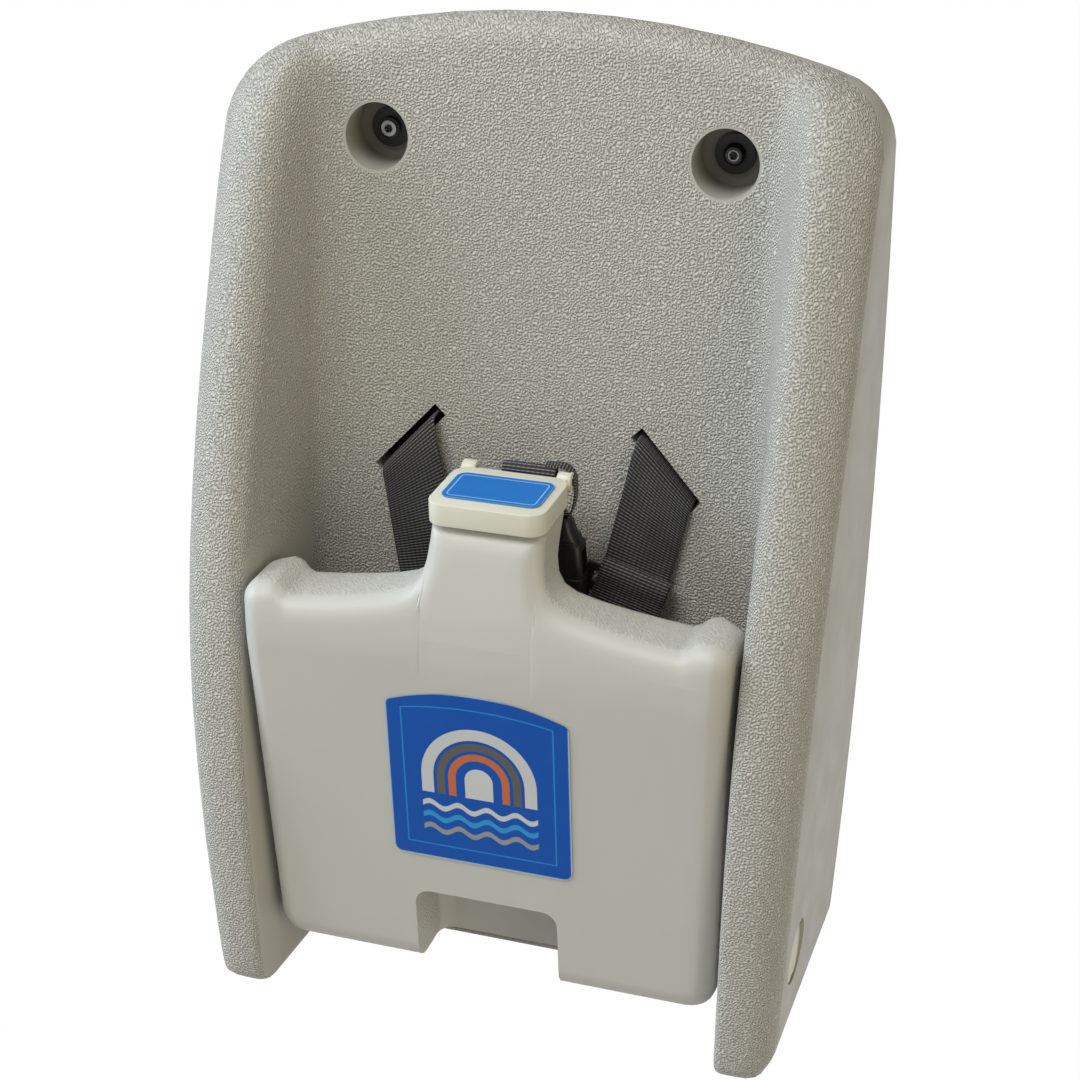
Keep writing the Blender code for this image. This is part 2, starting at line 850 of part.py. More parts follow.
def cut_hinge_seat(shell, side, word):
    """Stepped hole through a wing: cap seat, head seat, pin hole and inner spot face."""
    cap_floor = head_outer_x
    head_floor = head_outer_x - pin_head_thickness - touch_gap
    steps = (
        ("cap_seat", side_cap_radius + touch_gap, cap_floor, body_width / 2 + cut_overrun),
        ("head_seat", pin_head_radius + touch_gap, head_floor, cap_floor + cut_overrun),
        ("pin_hole", pin_radius + touch_gap, wing_spot_x - cut_overrun, head_floor + cut_overrun),
        ("spot_face", hinge_boss_radius + cut_overrun, hinge_boss_face - cut_overrun, wing_spot_x),
    )
    for name, radius, inner, outer in steps:
        hole = cylinder(name + "_" + word, radius, outer - inner, "X", sides=48)
        place = (side * (inner + outer) / 2, -pivot_depth, pivot_height)
        finish_cutter(hole, name + "_" + word, body_carrier, place)
        apply_boolean(shell, hole, "DIFFERENCE")


# Hinge hardware

def make_hinge_side(side, word):
    """Pin, bush, washer and cap at one side of the seat."""
    head_inner = head_outer_x - pin_head_thickness
    bush_inner = hinge_boss_face - bush_length
    pin_end = bush_inner + touch_gap
    bush_radius = pin_radius + touch_gap + bush_wall
    profile = (
        (0.0, head_outer_x), (pin_head_radius, head_outer_x), (pin_head_radius, head_inner),
        (pin_radius, head_inner), (pin_radius, pin_end), (0.0, pin_end),
    )
    place = (0, -pivot_depth, pivot_height)
    axis = "X" if side > 0 else "-X"
    pin = turned("pivot_pin_" + word, profile, axis, sides=32)
    finish_piece(pin, "pivot_pin_" + word, steel_look, body_carrier, place)

    bush = cylinder("pivot_bush_" + word, bush_radius, bush_length, "X", sides=32)
    centre = side * (hinge_boss_face + bush_inner) / 2
    finish_piece(bush, "pivot_bush_" + word, bush_look, seat_carrier, (centre, *place[1:]))
    bore = cylinder("bush_bore", pin_radius + touch_gap, bush_length + cut_overrun, "X", sides=32)
    finish_cutter(bore, "bush_bore_" + word, seat_carrier, (centre, *place[1:]))
    apply_boolean(bush, bore, "DIFFERENCE")

    washer_x = side * (hinge_boss_face + touch_gap + hinge_washer_thickness / 2)
    washer = cylinder("friction_washer_" + word, hinge_washer_radius, hinge_washer_thickness, "X")
    finish_piece(washer, "friction_washer_" + word, black_look, body_carrier,
                 (washer_x, *place[1:]))
    hole = cylinder("washer_hole", pin_radius + touch_gap, hinge_washer_thickness * 2, "X")
    finish_cutter(hole, "washer_hole_" + word, body_carrier, (washer_x, *place[1:]))
    apply_boolean(washer, hole, "DIFFERENCE")

    rim = cap_outer_x - side_cap_dome
    back = cap_outer_x - side_cap_thickness
    profile = [(0.0, cap_outer_x)]
    for reach_share, dome_share in cap_dome_shares:
        profile.append((side_cap_radius * reach_share, cap_outer_x - side_cap_dome * dome_share))
    profile += [(side_cap_radius, rim), (side_cap_radius, back), (0.0, back)]
    cap = turned("pivot_cap_" + word, profile, axis, sides=48)
    finish_piece(cap, "pivot_cap_" + word, cap_look, body_carrier, place)
    notch = cylinder("cap_notch", side_cap_notch, side_cap_thickness * 3, "X", sides=16)
    finish_cutter(notch, "cap_notch_" + word, body_carrier,
                  (side * cap_outer_x, -pivot_depth, pivot_height - side_cap_radius))
    apply_boolean(cap, notch, "DIFFERENCE")


# Mounting hardware

screw_crown_share = 0.75
screw_dome_share = 0.875
screw_rim_share = 0.4


def make_mount_side(side, word):
    """Screw and washer in one screw well."""
    x = side * mount_spacing / 2
    washer_back = counterbore_floor + touch_gap
    washer_front = washer_back + washer_thickness
    middle = (washer_back + washer_front) / 2
    washer = cylinder("mount_washer_" + word, washer_radius, washer_thickness, "Y", sides=40)
    finish_piece(washer, "mount_washer_" + word, black_look, body_carrier,
                 (x, -middle, mount_height))
    hole = cylinder("mount_washer_hole", screw_shank_radius + touch_gap,
                    washer_thickness * 2, "Y", sides=24)
    finish_cutter(hole, "mount_washer_hole_" + word, body_carrier, (x, -middle, mount_height))
    apply_boolean(washer, hole, "DIFFERENCE")

    head_back = washer_front + touch_gap
    head_front = head_back + screw_head_height
    crown_radius = screw_head_radius * screw_crown_share
    profile = (
        (0.0, head_front), (crown_radius, blend(head_back, head_front, screw_dome_share)),
        (screw_head_radius, blend(head_back, head_front, screw_rim_share)),
        (screw_head_radius, head_back),
        (screw_shank_radius, head_back), (screw_shank_radius, touch_gap), (0.0, touch_gap),
    )
    screw = turned("mount_screw_" + word, profile, "-Y", sides=32)
    screw = finish_piece(screw, "mount_screw_" + word, steel_look, body_carrier,
                         (x, 0, mount_height))
    drive = cylinder("screw_drive", screw_drive_radius, screw_drive_depth * 2, "Y", sides=6)
    finish_cutter(drive, "screw_drive_" + word, body_carrier, (x, -head_front, mount_height))
    apply_boolean(screw, drive, "DIFFERENCE")


# Fold-down seat

horn_half = horn_width / 2
horn_crown_shares = ((0.0, 1.0), (0.50, 1.0), (0.86, 1.0), (0.955, 0.985), (1.0, 0.955))
shoulder_shares = (
    (0.0, 0.955), (0.005, 0.78), (0.012, 0.62), (0.033, 0.46), (0.082, 0.33), (0.173, 0.245),
    (0.33, 0.17), (0.576, 0.09), (0.82, 0.03), (0.99, 0.0),
)
ear_shares = ((-1.0, 0.0), (-0.6, 0.25), (-0.25, 0.85), (0.1, 1.0), (0.5, 0.9), (1.0, 0.55))
horn_front_shares = ((0.0, 1.0), (0.3, 0.86), (0.6, 0.52), (1.0, 0.0))
horn_rear_shares = ((0.0, 0.0), (0.35, 0.1), (0.6, 0.35), (0.8, 0.66), (1.0, 1.0))


wing_inner_top = wing_shape(seat_shoulder_height)[2]
wing_inner_base = wing_shape(seat_bottom)[2]
seat_width_top = 2 * (wing_inner_top - seat_gap_top)
seat_width_base = 2 * (wing_inner_base - seat_gap_base)
rail_inner_x = seat_width_top / 2 - rail_inset - rail_half_width


def seat_half_width(height):
    """Half width of the seat, which widens a little upwards."""
    share = (height - seat_bottom) / (seat_shoulder_height - seat_bottom)
    return blend(seat_width_base, seat_width_top, share) / 2


def seat_crown(x):
    """Height of the upper edge: horn, flared root, shoulder and raised ear."""
    rise = horn_top - seat_shoulder_height
    if x <= horn_half:
        share = linear_lookup(horn_crown_shares, x / horn_half)
    else:
        share = linear_lookup(shoulder_shares, (x - horn_half) / (rail_inner_x - horn_half))
    height = seat_shoulder_height + rise * share
    ear_centre = seat_width_top / 2 - rail_inset
    place = (x - ear_centre) / rail_half_width
    if place > ear_shares[0][0]:
        height += ear_rise * smooth_lookup(ear_shares, place)
    return height


def linear_lookup(shares, place):
    """Straight lines through a table of (place, value) pairs."""
    for (x0, y0), (x1, y1) in zip(shares, shares[1:]):
        if place <= x1:
            return blend(y0, y1, clamp_share((place - x0) / (x1 - x0)))
    return shares[-1][1]


def seat_front_depth(height):
    """Depth of the seat front, which leans out and rolls back into the horn."""
    if height <= seat_roll_height:
        share = (height - seat_bottom) / (seat_roll_height - seat_bottom)
        return blend(seat_front_base, seat_front_top, share)
    share = (height - seat_roll_height) / (horn_top - seat_roll_height)
    return blend(horn_front_top, seat_front_top, smooth_lookup(horn_front_shares, share))


def seat_rear_depth(height):
    """Depth of the seating face, which runs out to the back at the top of the horn."""
    if height <= seat_shoulder_height:
        share = (height - seat_bottom) / (seat_shoulder_height - seat_bottom)
        return blend(seat_rear_base, seat_rear_top, share)
    share = (height - seat_shoulder_height) / (horn_top - seat_shoulder_height)
    bulge = blend(seat_rear_top, horn_rear_base, math.sin(math.pi / 2 * min(1.0, share * 3)))
    return blend(bulge, horn_rear_top, smooth_lookup(horn_rear_shares, share))


def seat_outline():
    """The outline of the seat with its horn."""
    radius = seat_corner_top
    centre_x = seat_width_top / 2 - radius
    centre_height = seat_crown(centre_x) - radius
    return Outline(
        seat_half_width, seat_crown, seat_bottom, radius, seat_corner_base,
        (centre_x, centre_height), centre_x, seat_bend_height,
        seat_bottom + seat_corner_base * base_bend_share,
    )


seat_base_shares = (0.0, 0.05, 0.18, 0.4, 0.68, 1.0)
seat_top_shares = (0.0, 0.2, 0.4, 0.55, 0.68, 0.78, 0.86, 0.92, 0.965, 0.99, 1.0)
horn_edge_shares = (0.0, 0.25, 0.50, 0.69, 0.80, 0.87, 0.925, 0.965, 0.99, 1.0)
flare_shares = (0.005, 0.012, 0.033, 0.082, 0.173, 0.33, 0.535, 0.782)
side_inset_shares = (0.0, 0.035, 0.15, 0.38, 0.7, 1.0)
rail_shares = (-1.0, -0.62, -0.25, 0.12, 0.5)


def seat_columns(height):
    """Column places from the side edge in to the middle."""
    half = seat_half_width(height)
    centre = half - rail_inset
    places = [half - seat_front_round * share for share in side_inset_shares]
    places = [place for place in places if place > centre + rail_half_width * rail_shares[-1]]
    rails = [centre + rail_half_width * share for share in rail_shares[::-1]]
    span = centre - rail_half_width - horn_half
    flare = [horn_half + span * share for share in flare_shares[::-1]]
    horn = [horn_half * share for share in horn_edge_shares[::-1]]
    return places + rails + flare + horn


def rim_points(rows):
    """Outline points of a grid, from the middle of the base round to the middle top."""
    base = [(x, height) for number, x, height, side in rows[0]][::-1]
    sides = [(row[0][1], row[0][2]) for row in rows[1:-1]]
    top = [(x, height) for number, x, height, side in rows[-1]]
    return base + sides + top


def rim_distance(points, x, height):
    """Distance from a point to the nearest stretch of the outline."""
    best = body_height
    for (x0, z0), (x1, z1) in zip(points, points[1:]):
        run, climb = x1 - x0, z1 - z0
        length = run * run + climb * climb
        share = clamp_share(((x - x0) * run + (height - z0) * climb) / length)
        best = min(best, math.hypot(x - x0 - run * share, height - z0 - climb * share))
    return best


def make_seat_body():
    """The moulded seat with its saddle horn, side rails, hand notch and hinge bosses."""
    outline = seat_outline()
    bend = seat_bottom + seat_corner_base * base_bend_share
    heights = [blend(bend, seat_bend_height, step / 6) for step in range(1, 6)]
    rows = outline.grid(seat_columns, seat_base_shares, heights, seat_top_shares)
    rim = rim_points(rows)

    def front(number, x, height, side):
        fall = round_drop(rim_distance(rim, x, height), seat_front_round, seat_front_round)
        return seat_front_depth(height) - fall

    def rear(number, x, height, side):
        centre = seat_half_width(side) - rail_inset
        place = (x - centre) / rail_half_width
        rail = rail_rise * math.cos(math.pi / 2 * max(-1.0, min(1.0, place))) ** 2
        fade = clamp_share((height - seat_bottom) / (pivot_height - seat_bottom) - 1)
        fall = round_drop(rim_distance(rim, x, height), seat_rear_round, seat_rear_round)
        return seat_rear_depth(height) - rail * fade + fall

    seat = plate("seat_body", rows, front, rear)
    finish_piece(seat, "seat_body", seat_look, seat_carrier)
    cut_hand_notch(seat)
    for side, word in ((-1, "left"), (1, "right")):
        add_hinge_boss(seat, side, word)
    return seat


def cut_hand_notch(seat):
    """The hand notch in the middle of the lower edge."""
    depth = notch_depth + 4 * notch_round
    height = notch_top - seat_bottom + 4 * notch_round
    notch = block("hand_notch", (notch_width, depth, height), notch_round, 4)
    back = seat_front_base - notch_depth
    place = (0, -(back + depth / 2), notch_top - height / 2)
    finish_cutter(notch, "hand_notch", seat_carrier, place)
    apply_boolean(seat, notch, "DIFFERENCE")


def add_hinge_boss(seat, side, word):
    """A round boss on the side of the seat, and the bore for its bush."""
    boss = cylinder("hinge_boss_" + word, hinge_boss_radius, hinge_boss_length, "X", sides=48)
    place = (side * (hinge_boss_face - hinge_boss_length / 2), -pivot_depth, pivot_height)
    finish_cutter(boss, "hinge_boss_" + word, seat_carrier, place)
    apply_boolean(seat, boss, "UNION")
    outer_radius = pin_radius + bush_wall + 2 * touch_gap
    bore_inner = hinge_boss_face - bush_length - touch_gap
    bore_outer = hinge_boss_face + cut_overrun * 3
    bore = cylinder("hinge_bore_" + word, outer_radius, bore_outer - bore_inner, "X", sides=32)
    place = (side * (bore_inner + bore_outer) / 2, -pivot_depth, pivot_height)
    finish_cutter(bore, "hinge_bore_" + word, seat_carrier, place)
    apply_boolean(seat, bore, "DIFFERENCE")
    face = cylinder("boss_face_" + word, hinge_boss_radius + cut_overrun,
                    cut_overrun * 3, "X", sides=48)
    place = (side * (hinge_boss_face + cut_overrun * 1.5), -pivot_depth, pivot_height)
    finish_cutter(face, "boss_face_" + word, seat_carrier, place)
    apply_boolean(seat, face, "DIFFERENCE")


# Cap, label and sign

cap_base = horn_top + touch_gap
cap_top = cap_base + cap_height
cap_front = horn_front_top + (cap_width - horn_width) / 2
cap_middle = cap_front - cap_length / 2
cap_rear = cap_front - cap_length
lug_depth = cap_rear - lug_reach
lug_level_share = 0.75
lug_arm_share = 0.5
lug_arm_width = lug_width - 2 * cap_edge_round
lug_end_shares = ((0.0, 1.0), (0.72, 1.0), (0.93, 0.93), (1.0, 0.78))
lug_level = cap_top - lug_radius * lug_level_share


def make_horn_cap():
    """The cap on the horn, with two lugs at the rear that hold the crotch strap pin."""
    outline = rounded_rectangle(cap_width, cap_length, cap_corner)
    cap = flat_outline("horn_cap", outline, cap_height)
    bevel = cap.modifiers.new("soft_rim", "BEVEL")
    bevel.width = cap_edge_round
    bevel.segments = 3
    bevel.limit_method = "ANGLE"
    bevel.angle_limit = math.radians(50)
    place = (0, -cap_middle, (cap_base + cap_top) / 2)
    finish_piece(cap, "horn_cap", cap_look, seat_carrier, place)
    reach = lug_reach + cap_corner
    barrel = [(lug_radius * wide, lug_width / 2 * out) for wide, out in lug_end_shares]
    lug_profile = barrel + [(radius, -out) for radius, out in barrel[::-1]]
    for side, word in ((-1, "left"), (1, "right")):
        x = side * (cap_width / 2 - lug_width / 2 - cap_edge_round / 2)
        arm = block("lug_arm_" + word, (lug_arm_width, reach, lug_radius * 2 * lug_arm_share))
        finish_cutter(arm, "lug_arm_" + word, seat_carrier,
                      (x, -(lug_depth + reach / 2), lug_level))
        apply_boolean(cap, arm, "UNION")
        eye = turned("lug_eye_" + word, lug_profile, "X", sides=24)
        finish_cutter(eye, "lug_eye_" + word, seat_carrier, (x, -lug_depth, lug_level))
        apply_boolean(cap, eye, "UNION")
    bore = cylinder("crotch_pin_bore", crotch_pin_radius + touch_gap, cap_width * 2, "X", sides=16)
    finish_cutter(bore, "crotch_pin_bore", seat_carrier, (0, -lug_depth, lug_level))
    apply_boolean(cap, bore, "DIFFERENCE")
    length = cap_width - 2 * cap_edge_round
    pin = cylinder("crotch_strap_pin", crotch_pin_radius, length, "X", sides=16)
    finish_piece(pin, "crotch_strap_pin", steel_look, seat_carrier, (0, -lug_depth, lug_level))


def make_cap_label():
    """The blank label plate on the cap."""
    outline = rounded_rectangle(label_width, label_length, label_corner)
    label = flat_outline("cap_label", outline, label_thickness)
    level = cap_top + touch_gap + label_thickness / 2
    finish_piece(label, "cap_label", label_look, seat_carrier, (0, -cap_middle, level))


def sign_outline():
    """Outline of the sign: round corners and an arched top."""
    half = sign_width / 2
    straight = sign_height - sign_arch_rise
    slope = math.atan2(2 * sign_arch_rise, half)
    points = []
    for right, start in ((-1, 180), (1, 270)):
        for step in range(5):
            angle = math.radians(start + 90 * step / 4)
            x = right * (half - sign_corner_base) + sign_corner_base * math.cos(angle)
            points.append((x, sign_corner_base * (1 + math.sin(angle))))
    reach = half - sign_corner_top * (1 - math.sin(slope))
    level = straight + sign_arch_rise * (1 - (reach / half) ** 2)
    level -= sign_corner_top * math.cos(slope)
    corner = []
    for step in range(5):
        angle = blend(0.0, math.pi / 2 - slope, step / 4)
        x = half - sign_corner_top + sign_corner_top * math.cos(angle)
        corner.append((x, level + sign_corner_top * math.sin(angle)))
    arch = []
    for step in range(1, 12):
        x = reach * (1 - 2 * step / 12)
        arch.append((x, straight + sign_arch_rise * (1 - (x / half) ** 2)))
    return points + corner + arch + [(-x, height) for x, height in corner[::-1]]


def make_seat_sign():
    """The arched sign plate on the front of the seat."""
    sign = flat_outline("seat_sign", sign_outline(), sign_thickness)
    sign.rotation_euler = (math.pi / 2 + seat_lean, 0, 0)
    standoff = touch_gap + sign_thickness / 2
    depth = seat_front_depth(sign_base_height)
    place = (0, -depth - standoff * math.cos(seat_lean),
             sign_base_height - standoff * math.sin(seat_lean))
    finish_piece(sign, "seat_sign", label_look, seat_carrier, place)


# Harness

strap_start_share = 0.6
strap_entry_share = 0.2
strap_level_share = 0.06
strap_entry_slant_shares = (0.5, 0.95)
slot_stay_shares = (0.25, 0.85)
strap_bend_shares = (0.75, 0.2)
strap_fall_shares = (1.25, 1.2, 0.92)
strap_fade_shares = (
    (0.12, 0.72), (0.22, 0.46), (0.34, 0.2), (0.46, 0.04), (0.58, 0.0), (0.72, 0.0), (0.86, 0.0),
)
crotch_drop_share = 1.2
crotch_bend_share = 0.6
crotch_lift_share = 0.33
hook_length_share = 0.33
fold_share = 0.6
hang_share = 0.85
panel_lean = math.atan2(panel_depth_foot - panel_depth_top, body_height - panel_foot_height)
strap_drop = slot_height - tongue_top_height
strap_slope = math.atan2(strap_lean, strap_drop)


def band(name, stations, thickness):
    """A flat band through stations of (centre, half width vector)."""
    centres = [Vector(centre) for centre, half in stations]
    sections = []
    for k, (centre, half) in enumerate(stations):
        before = centres[max(k - 1, 0)]
        after = centres[min(k + 1, len(centres) - 1)]
        half = Vector(half)
        normal = (after - before).cross(half).normalized() * thickness / 2
        middle = centres[k]
        sections.append([
            middle - half - normal, middle + half - normal,
            middle + half + normal, middle - half + normal,
        ])
    return loft(name, sections)


def strap_x(side, height):
    """Sideways place of a shoulder strap, which leans in as it hangs."""
    return side * (slot_x - strap_lean * max(0.0, slot_height - height) / strap_drop)


def make_anchor_bar():
    """The steel bar across the rear pocket that both shoulder straps loop round."""
    length = 2 * (pocket_half_width + anchor_bar_seat - touch_gap)
    bar = cylinder("strap_anchor_bar", anchor_bar_radius, length, "X", sides=24)
    finish_piece(bar, "strap_anchor_bar", steel_look, body_carrier,
                 (0, -anchor_bar_depth, anchor_bar_height))


def make_shoulder_strap(side, word):
    """Webbing from the anchor bar, out of its slot, down the panel to the tongue."""
    wrap = anchor_bar_radius + touch_gap + webbing_thickness / 2
    route = [(anchor_bar_depth - wrap, anchor_bar_height + strap_loop_height, 0.0)]
    for step in range(9):
        angle = math.pi + math.pi * step / 8
        route.append((anchor_bar_depth + wrap * math.cos(angle),
                      anchor_bar_height + wrap * math.sin(angle), 0.0))
    entry = pocket_depth
    climb = slot_height - anchor_bar_height
    reach = entry - anchor_bar_depth - wrap
    first_slant, second_slant = strap_entry_slant_shares
    route.append((entry - reach * strap_start_share,
                  anchor_bar_height + climb * strap_start_share, first_slant))
    route.append((entry - reach * strap_entry_share,
                  slot_height - climb * strap_level_share, second_slant))
    front = panel_depth(slot_height)
    for stay_share in slot_stay_shares:
        route.append((blend(entry, front, stay_share), slot_height, 1.0))
    out_share, down_share = strap_bend_shares
    route.append((front + strap_turn * out_share, slot_height - strap_turn * down_share, 1.0))
    out_share, down_share, slant = strap_fall_shares
    turned_height = slot_height - strap_turn * down_share
    route.append((panel_depth(turned_height) + strap_turn * out_share, turned_height, slant))
    for place, slant in strap_fade_shares:
        height = slot_height - strap_drop * place
        route.append((panel_depth(height) + strap_standoff, height, slant))
    hung = tongue_depth - tongue_thickness / 2 - touch_gap - webbing_thickness / 2
    bar_low = tongue_top_height - tongue_bar
    window_middle = bar_low - tongue_window_height / 2
    out = tongue_depth + tongue_thickness / 2 + touch_gap + webbing_thickness
    route.append((hung, tongue_top_height, 0.0))
    route.append((hung, bar_low, 0.0))
    route.append((tongue_depth - tongue_thickness / 4, window_middle, 0.0))
    route.append((tongue_depth + tongue_thickness / 4, window_middle, 0.0))
    route.append((out, bar_low, 0.0))
    route.append((out, bar_low + strap_end_fold, 0.0))
    stations = []
    for depth, height, slant in route:
        hanging = depth > pocket_depth and height < slot_height
        straight = strap_slope if hanging else 0.0
        angle = blend(straight, slot_angle, slant)
        straight = strap_slope if hanging else strap_slope * slant
        if depth >= hung and height <= tongue_top_height + strap_end_fold / 2:
            angle = straight = 0.0
        half = webbing_width / 2 / math.cos(angle - straight)
        x = strap_x(side, max(height, tongue_top_height))
        stations.append((
            (x, -depth, height), (side * half * math.cos(angle), 0, -half * math.sin(angle))
        ))
    strap = band("shoulder_strap_" + word, stations, webbing_thickness)
    finish_piece(strap, "shoulder_strap_" + word, webbing_look, body_carrier)


adjuster_stand = (tail_thickness + 2 * touch_gap + adjuster_thickness / 2) / math.cos(panel_lean)


def make_adjuster(side, word, height):
    """A three bar slide on a shoulder strap, and the webbing folded over its upper end."""
    strap_front = panel_depth(height) + strap_standoff + webbing_thickness / 2
    place = (strap_x(side, height), -(strap_front + adjuster_stand), height)
    adjuster_carrier = make_carrier(
        "adjuster_frame_" + word, place, body_carrier[0], body_carrier[1]
    )
    adjuster_carrier[0].rotation_euler = (-panel_lean, side * strap_slope, 0)
    size = (adjuster_width, adjuster_thickness, adjuster_length)
    frame = block("strap_adjuster_" + word, size, adjuster_round, 2)
    finish_piece(frame, "strap_adjuster_" + word, black_look, adjuster_carrier, place)
    frame.location.x = -side * adjuster_shift
    window = (adjuster_length - 3 * adjuster_bar) / 2
    for sign, level in ((-1, "low"), (1, "high")):
        size = (adjuster_width - 2 * adjuster_bar, adjuster_thickness * 2, window)
        hole = block("adjuster_window", size)
        finish_cutter(hole, "adjuster_window_" + level + "_" + word, adjuster_carrier, place)
        hole.location = (-side * adjuster_shift, 0, sign * (adjuster_bar + window) / 2)
        apply_boolean(frame, hole, "DIFFERENCE")

    skin = adjuster_thickness / 2 + touch_gap + tail_thickness / 2
    top = adjuster_length / 2
    crest = top + touch_gap + tail_thickness
    route = [(-skin, 0), (-skin, top - touch_gap), (-skin * fold_share, crest),
             (skin * fold_share, crest), (skin, top - touch_gap), (skin, 0), (skin, -top),
             (skin * hang_share, top - tail_length)]
    stations = [((0, -out, up), (webbing_width / 2, 0, 0)) for out, up in route]
    tail = band("strap_tail_" + word, stations, tail_thickness)
    finish_piece(tail, "strap_tail_" + word, webbing_look, adjuster_carrier, place)


prong_end_height = tongue_top_height - tongue_height - prong_length
tongue_depth = (panel_depth(prong_end_height) + tongue_thickness / 2 + touch_gap * 4
                + webbing_thickness)


def make_tongue():
    """The plate that joins both shoulder straps and carries the prongs."""
    middle = tongue_top_height - tongue_height / 2
    size = (tongue_width, tongue_thickness, tongue_height)
    tongue = block("harness_tongue", size, tongue_round, 2)
    place = (0, -tongue_depth, middle)
    finish_piece(tongue, "harness_tongue", black_look, body_carrier, place)
    window_level = tongue_top_height - tongue_bar - tongue_window_height / 2
    for side, word in ((-1, "left"), (1, "right")):
        size = (webbing_width + 2 * cut_overrun, tongue_thickness * 2, tongue_window_height)
        window = block("tongue_window", size)
        finish_cutter(window, "tongue_window_" + word, body_carrier,
                      (strap_x(side, tongue_top_height), -tongue_depth, window_level))
        apply_boolean(tongue, window, "DIFFERENCE")
        corner = tongue_height - tongue_bar * 2 - tongue_window_height
        size = (tongue_width / 2 - prong_spacing, tongue_thickness * 2, corner * 2)
        trim = block("tongue_trim", size)
        x = side * (prong_spacing + tongue_width) / 2
        finish_cutter(trim, "tongue_trim_" + word, body_carrier,
                      (x, -tongue_depth, tongue_top_height - tongue_height))
        apply_boolean(tongue, trim, "DIFFERENCE")
        size = (prong_width, tongue_thickness, prong_length + tongue_round * 2)
        prong = block("tongue_prong", size)
        level = tongue_top_height - tongue_height - prong_length / 2 + tongue_round
        finish_cutter(prong, "tongue_prong_" + word, body_carrier,
                      (side * prong_spacing / 2, -tongue_depth, level))
        apply_boolean(tongue, prong, "UNION")
        hook_length = prong_length * hook_length_share
        hook = block("tongue_hook", (prong_width + prong_hook, tongue_thickness, hook_length))
        level = prong_end_height + hook_length / 2
        finish_cutter(hook, "tongue_hook_" + word, body_carrier,
                      (side * (prong_spacing + prong_hook) / 2, -tongue_depth, level))
        apply_boolean(tongue, hook, "UNION")


# The buckle hangs straight below the lugs, or further out where it would meet an adjuster
adjuster_front = (panel_depth(buckle_top_height - buckle_length) + strap_standoff
                  + webbing_thickness / 2 + adjuster_stand + adjuster_thickness / 2)
buckle_depth = max(lug_depth, adjuster_front + buckle_clearance + buckle_thickness / 2)


def make_crotch_strap():
    """Webbing that loops round the pin behind the cap and hangs down to the buckle."""
    wrap = crotch_pin_radius + touch_gap + webbing_thickness / 2
    route = [(lug_depth + wrap, lug_level - crotch_tuck, 0.0)]
    for step in range(5):
        angle = math.pi * step / 4
        turn = (lug_depth + wrap * math.cos(angle), lug_level + wrap * math.sin(angle))
        route.append((*turn, 0.0))
    route.append((lug_depth - wrap, lug_level - lug_radius * crotch_drop_share, 0.0))
    middle_depth = blend(lug_depth - wrap, buckle_depth, crotch_bend_share)
    middle_height = buckle_top_height + crotch_tuck * crotch_lift_share
    route.append((middle_depth, middle_height, crotch_bend_share))
    route.append((buckle_depth, buckle_top_height + touch_gap, 1.0))
    stations = []
    for depth, height, share in route:
        x = blend(crotch_offset, buckle_offset, share)
        stations.append(((x, -depth, height), (crotch_webbing_width / 2, 0, 0)))
    strap = band("crotch_strap", stations, webbing_thickness)
    finish_piece(strap, "crotch_strap", webbing_look, seat_carrier)


# Places down the buckle, as (share of the length, share of the width, share of the thickness)
buckle_shares = (
    (0.0, 0.64, 0.60), (0.04, 0.68, 0.80), (0.16, 0.74, 0.90), (0.30, 0.94, 1.0),
    (0.66, 1.0, 1.0), (0.92, 0.97, 1.0), (1.0, 0.93, 0.88),
)
buckle_seam_shares = (0.27, 0.68)


def buckle_section(share, inset):
    """Outline of the buckle at a share of its length, drawn in by a seam."""
    width = linear_lookup([(place, wide) for place, wide, deep in buckle_shares], share)
    depth = linear_lookup([(place, deep) for place, wide, deep in buckle_shares], share)
    size = (buckle_width * width - 2 * inset, buckle_thickness * depth - 2 * inset)
    outline = rounded_rectangle(*size, buckle_round, 3)
    level = buckle_length * (0.5 - share)
    return [(x, y, level) for x, y in outline]


def make_buckle_socket():
    """The buckle socket, with its mouth below and a release window at each side."""
    stations = [(share, 0) for share, wide, deep in buckle_shares]
    edge = buckle_seam_width / buckle_length
    for share in buckle_seam_shares:
        stations += [(share - edge, 0), (share - edge / 2, buckle_seam)]
        stations += [(share + edge / 2, buckle_seam), (share + edge, 0)]
    sections = [buckle_section(share, inset) for share, inset in sorted(stations)]
    socket = loft("buckle_socket", sections)
    middle = buckle_top_height - buckle_length / 2
    place = (buckle_offset, -buckle_depth, middle)
    finish_piece(socket, "buckle_socket", black_look, seat_carrier, place)
    size = (buckle_width - 2 * buckle_wall, buckle_thickness - 2 * buckle_wall,
            buckle_mouth_depth + cut_overrun)
    mouth = block("buckle_mouth", size)
    level = buckle_top_height - buckle_length + (buckle_mouth_depth - cut_overrun) / 2
    finish_cutter(mouth, "buckle_mouth", seat_carrier, (buckle_offset, -buckle_depth, level))
    apply_boolean(socket, mouth, "DIFFERENCE")
    size = (buckle_width + 2 * cut_overrun, buckle_thickness - 2 * buckle_wall,
            buckle_window_length)
    window = block("release_window", size)
    finish_cutter(window, "release_window", seat_carrier, place)
    apply_boolean(socket, window, "DIFFERENCE")


make_pocket_lid(make_back_shell())
make_seat_body()
make_horn_cap()
make_cap_label()
make_seat_sign()
make_anchor_bar()
make_tongue()
make_crotch_strap()
make_buckle_socket()
adjuster_heights = {"left": adjuster_left_height, "right": adjuster_right_height}
for side_number, side_word in ((-1, "left"), (1, "right")):
    make_hinge_side(side_number, side_word)
    make_mount_side(side_number, side_word)
    make_shoulder_strap(side_number, side_word)
    make_adjuster(side_number, side_word, adjuster_heights[side_word])
